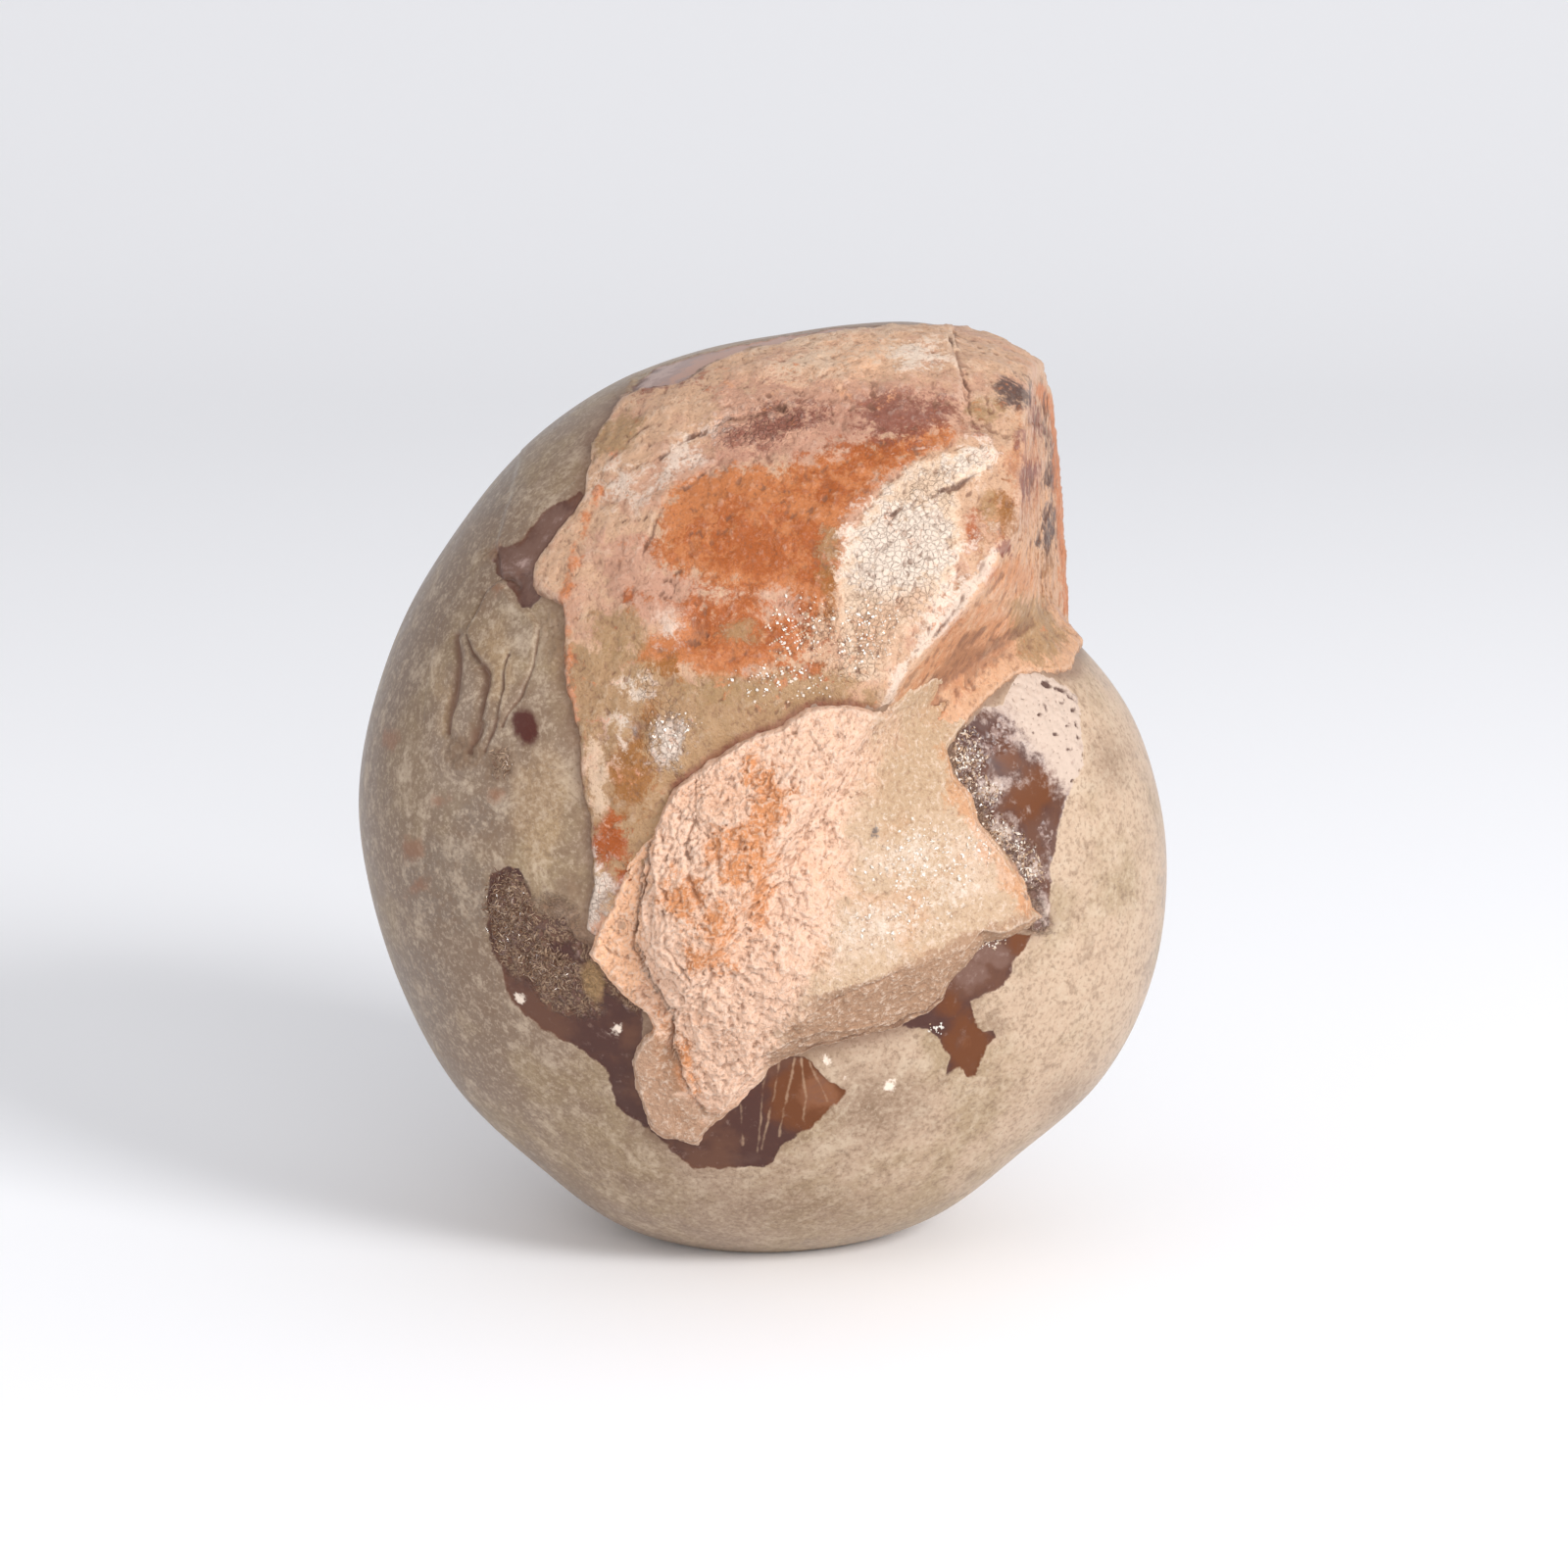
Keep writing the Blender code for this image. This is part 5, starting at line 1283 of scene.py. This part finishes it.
class FossilSizes(bpy.types.PropertyGroup):
    """Sizes of the surface's detail."""

    ragged_edge: length("Ragged edge", "How far outlines wander to each side", 0.45)
    cast_lift: length("Cast lift", "Height of the cast over the polished shell", 0.5)
    grain_height: length("Grain height", "Height of the sand grains and crumbs", 0.22)
    worn_step: length("Worn shell mesh step", "Spacing of the points on the worn places of the shell", 0.21)
    chunk_step: length("Rock mesh step", "Spacing of the points on the lump of rock", 0.18)
    cast_step: length("Cast mesh step", "Spacing of the points on the cast", 0.31)
    crystal_size: length("Crystal size", "Half width of the largest calcite crystals", 0.28)


class FossilColours(bpy.types.PropertyGroup):
    """Colours of the shell, the cast, the rock and the card."""

    shell_tan: tint("Shell tan", "Main colour of the polished shell towards the broken end", "#b69c84")
    # the shell's greyer tone on the left, partly painted shade on the side away from the key light
    shell_left_grey_and_shade: tint("Shell shade", "Main colour of the polished shell away from the broken end", "#76614f")
    shell_olive: tint("Shell olive", "Clouds in the shell", "#947e5f")
    shell_grey: tint("Shell grey", "Grey areas of the shell", "#766659")
    shell_warm: tint("Shell warm", "Warm areas of the shell", "#a48765")
    shell_pale: tint("Shell pale", "Pale mottles in the shell", "#c0ac95")
    shell_dark: tint("Shell dark", "Dark mottles in the shell", "#765d48")
    shell_rust: tint("Shell rust", "Rusty spots", "#835437")
    # dirt in the shell's cracks, and painted shade beside the rock and in small hollows
    shell_crack_dirt_and_shade: tint("Shell crack", "Dirt in the shell's cracks", "#674735")
    calcite_brown: tint("Brown calcite", "Calcite where the shell is polished through", "#5c3928")
    # the darkest calcite, also used as painted shade in its small hollows
    calcite_purple_and_shade: tint("Purple calcite", "Darkest calcite", "#46271f")
    calcite_amber: tint("Amber calcite", "Clearest calcite", "#613312")
    calcite_haze: tint("Hazy calcite", "Bruised calcite", "#5a4038")
    calcite_mauve: tint("Mauve haze", "Palest bruises", "#947a72")
    grit_brown: tint("Brown grit", "Base under the fibres of grit", "#6b4a37")
    grit_white: tint("White grit", "Palest grains on the dark calcite", "#b5a095")
    calcite_rose: tint("Rose haze", "Thin layer over the brown calcite at the top", "#6f5246")
    calcite_milk: tint("Milky haze", "Palest part of the thin layer at the top", "#b59a90")
    grit_pale: tint("Pale grit", "Fibres and grains stuck on the dark calcite", "#ae9074")
    crust_cream: tint("Cream crust", "Crust on the dark calcite", "#bea999")
    red_brown: tint("Red-brown", "Iron spot in the shell", "#46150c")
    cast_tan: tint("Cast tan", "Main colour of the cast", "#c59d7e")
    cast_pink: tint("Cast pink", "Pink areas of the cast", "#bb8b73")
    cast_cream: tint("Cast cream", "Cream areas of the cast", "#d2b59a")
    # the palest grains, also used as painted highlight on the cast's crests
    cast_white_and_highlight: tint("Cast white", "Palest grains", "#deccbb")
    cast_peach: tint("Cast peach", "Broken end of the whorl", "#ca9b77")
    cast_rim: tint("Cast rim", "Orange edge of the broken shell", "#bf7547")
    cast_orange: tint("Cast orange", "Iron-stained areas", "#b66c39")
    cast_rust: tint("Cast rust", "Deepest iron stain", "#9a4a12")
    # maroon streaks, also used as painted shade above the lump of rock
    cast_maroon_and_shade: tint("Cast maroon", "Maroon streaks", "#7b4436")
    cast_amber: tint("Cast amber", "Amber stains", "#8c5822")
    cast_olive: tint("Cast olive", "Olive stains", "#9b7a53")
    cast_grey: tint("Cast grey", "Grey mineral", "#b5a59c")
    # dirt between the grains of the cast, and painted shade in its hollows
    cast_shadow: tint("Cast dark", "Dirt between the grains of the cast", "#744e3b")
    # dirt in the cracks, and painted shade along the cast's edge and the lump's ledge
    crevice_dirt_and_shade: tint("Crevice", "Dirt in the cracks", "#583728")
    streak_dark: tint("Dark streak", "Dark mineral at the lip", "#412c2b")
    rock_pink: tint("Rock pink", "Crumbly face of the rock", "#d9b298")
    rock_peach: tint("Rock peach", "Thin layer at the rock's left edge", "#e6b28c")
    rock_beige: tint("Rock beige", "Firm face of the rock", "#b99d81")
    # tan of the tongue, also used as painted shade on the under face
    rock_tan_and_under_shade: tint("Rock tan", "Under side and thin edge of the rock", "#9d7b61")
    rock_orange: tint("Rock orange", "Iron stain on the rock", "#c37e4b")
    # pale crumbs, also used as painted highlight on the crests
    rock_white_and_highlight: tint("Rock white", "Pale crumbs", "#d7c1af")
    # dirt between the crumbs, and painted shade in the hollows
    rock_dirt_and_shade: tint("Rock dark", "Dirt between the crumbs", "#85614c")
    grey: tint("Grey", "Grey mineral spot", "#675b56")
    # calcite crystals, also used as painted sheen on the lump's glassy places
    crystal_white_and_sheen: tint("Crystal white", "Calcite crystals", "#e4ddd3")
    card: tint("Card", "Card under the fossil", "#fbfbfc")


def sizes():
    return bpy.context.scene.fossil_sizes


def colours():
    return bpy.context.scene.fossil_colours


# ---- operators ----
class FOSSIL_OT_polished_shell(bpy.types.Operator):
    """Make the polished shell, all round"""

    bl_idname = "fossil.polished_shell"
    bl_label = "Polished Shell"

    def execute(self, context):
        d, quads = ball_directions(BALL_SIDE, BALL_PULL)
        points, stains = shell_surface(d)
        new_piece("polished_shell", points, quads.tolist(), stains, polished_shell_material(colours()))
        return {"FINISHED"}


class FOSSIL_OT_worn_shell(bpy.types.Operator):
    """Make the worn places of the shell: loose flakes, cracks and bare brown calcite"""

    bl_idname = "fossil.worn_shell"
    bl_label = "Worn Shell"

    def execute(self, context):
        closed_patch("worn_shell", WORN_PATCH, sizes().worn_step, worn_is_here, worn_surface,
                     shared_material("polished_calcite_shell"))
        return {"FINISHED"}


class FOSSIL_OT_cast(bpy.types.Operator):
    """Make the rough cast in the last whorl, with the whorl's broken end"""

    bl_idname = "fossil.cast"
    bl_label = "Whorl Cast"

    def execute(self, context):
        closed_patch("whorl_cast", CAST_PATCH, sizes().cast_step, cast_is_here, cast_surface,
                     cast_material(colours()))
        return {"FINISHED"}


class FOSSIL_OT_chunk(bpy.types.Operator):
    """Make the lump of rock left on the side"""

    bl_idname = "fossil.chunk"
    bl_label = "Lump of Rock"

    def execute(self, context):
        closed_patch("rock_chunk", CHUNK_PATCH, sizes().chunk_step, chunk_is_here, chunk_surface,
                     chunk_material(colours()))
        return {"FINISHED"}


class FOSSIL_OT_crystals(bpy.types.Operator):
    """Scatter tiny calcite crystals on the rock, the cast and the bare patches"""

    bl_idname = "fossil.crystals"
    bl_label = "Calcite Crystals"

    def execute(self, context):
        source = np.random.default_rng(CRYSTAL_SEED)
        points, faces, browns = [], [], []
        for name, count, brown, slender, ovals in CRYSTAL_FIELDS:
            at, normals, stain = read_piece(name)
            depth = blots(on_sheet(at), ovals)
            chance = np.clip(depth + 0.15, 0, None) * (at[:, 1] < 0)
            chosen = source.choice(len(at), count, replace=False, p=chance / chance.sum())
            wide = sizes().crystal_size / MM * source.uniform(0.35, 1.0, count) ** 1.5
            p, f = crystal_specks(at[chosen], normals[chosen], wide, slender, source)
            browns.append(np.repeat(np.clip(brown + source.uniform(-0.5, 0.5, count), 0, 1), 6))
            faces.append(f + sum(len(q) for q in points))
            points.append(p)
        points, faces = np.concatenate(points), np.concatenate(faces)
        piece = new_piece("calcite_crystals", points, faces.tolist(), {"brown": np.concatenate(browns)},
                          crystal_material(colours()))
        piece.data.shade_flat()
        return {"FINISHED"}


class FOSSIL_OT_stage(bpy.types.Operator):
    """Make the card, the lights and the camera"""

    bl_idname = "fossil.stage"
    bl_label = "Card, Lights and Camera"

    def execute(self, context):
        make_card()
        make_lights()
        make_camera()
        return {"FINISHED"}


class FOSSIL_PT_panel(bpy.types.Panel):
    """Buttons in the order in which they are used"""

    bl_label = "Fossil Ammonite"
    bl_idname = "FOSSIL_PT_panel"
    bl_space_type = "VIEW_3D"
    bl_region_type = "UI"
    bl_category = "Fossil"

    def draw(self, context):
        for operator in OPERATORS:
            self.layout.operator(operator.bl_idname)
        for group in (sizes(), colours()):
            for name in group.__annotations__:
                self.layout.prop(group, name)


OPERATORS = (FOSSIL_OT_polished_shell, FOSSIL_OT_worn_shell, FOSSIL_OT_cast, FOSSIL_OT_chunk,
             FOSSIL_OT_crystals, FOSSIL_OT_stage)
CLASSES = (FossilSizes, FossilColours, *OPERATORS, FOSSIL_PT_panel)


# ---- stage ----
def make_card():
    """Card that lies flat and then curves up behind: height is a ramp of the way back."""
    across, back = np.meshgrid(np.linspace(-4, 4, 33), np.linspace(-2.5, 5, 76), indexing="ij")
    rise = 2.5 * ramp(back, 0.9, 4.0)
    points = np.stack([across, back, rise], -1).reshape(-1, 3)
    corner = np.arange(len(points)).reshape(across.shape)
    quads = np.stack([corner[:-1, :-1], corner[1:, :-1], corner[1:, 1:], corner[:-1, 1:]], -1).reshape(-1, 4)
    mesh = bpy.data.meshes.new("card")
    mesh.from_pydata(points.tolist(), [], quads.tolist())
    mesh.shade_smooth()
    mesh.materials.append(paper_material(colours()))
    card = bpy.data.objects.new("card", mesh)
    bpy.context.scene.collection.objects.link(card)


def area_light(name, place, watts, size, colour):
    """A square light that faces the middle of the fossil."""
    data = bpy.data.lights.new(name, "AREA")
    data.energy = watts
    data.size = size
    data.color = colour
    light = bpy.data.objects.new(name, data)
    light.location = place
    light.rotation_euler = (Vector(AIM) - Vector(place)).to_track_quat("-Z", "Y").to_euler()
    bpy.context.scene.collection.objects.link(light)


def make_lights():
    """Three soft lights and a pale surround."""
    for light in SOFTBOXES:
        area_light(*light)
    world = bpy.data.worlds.new("studio")
    world.use_nodes = True
    shade = world.node_tree.nodes["Background"]
    shade.inputs["Color"].default_value = (0.96, 0.965, 1.0, 1.0)
    shade.inputs["Strength"].default_value = 0.65
    bpy.context.scene.world = world
    bpy.context.scene.view_settings.view_transform = "Standard"


def make_camera():
    """A camera square to the sheet, as far away as its outlines are worked out for."""
    data = bpy.data.cameras.new("camera")
    data.sensor_width = 36.0
    data.lens = data.sensor_width * SHEET_AWAY / SHEET_WIDTH
    data.clip_start = 0.01
    camera = bpy.data.objects.new("camera", data)
    back = Vector((0, -np.cos(SHEET_TILT), np.sin(SHEET_TILT)))
    camera.location = (Vector(SHEET_CENTRE) + back * SHEET_AWAY) * MM
    camera.rotation_euler = (-back).to_track_quat("-Z", "Y").to_euler()
    bpy.context.scene.collection.objects.link(camera)
    bpy.context.scene.camera = camera


def register():
    for cls in CLASSES:
        bpy.utils.register_class(cls)
    bpy.types.Scene.fossil_sizes = bpy.props.PointerProperty(type=FossilSizes)
    bpy.types.Scene.fossil_colours = bpy.props.PointerProperty(type=FossilColours)


def unregister():
    del bpy.types.Scene.fossil_sizes
    del bpy.types.Scene.fossil_colours
    for cls in reversed(CLASSES):
        bpy.utils.unregister_class(cls)


def main():
    register()
    bpy.ops.fossil.polished_shell()
    bpy.ops.fossil.worn_shell()
    bpy.ops.fossil.cast()
    bpy.ops.fossil.chunk()
    bpy.ops.fossil.crystals()
    bpy.ops.fossil.stage()


if __name__ == "__main__":
    main()
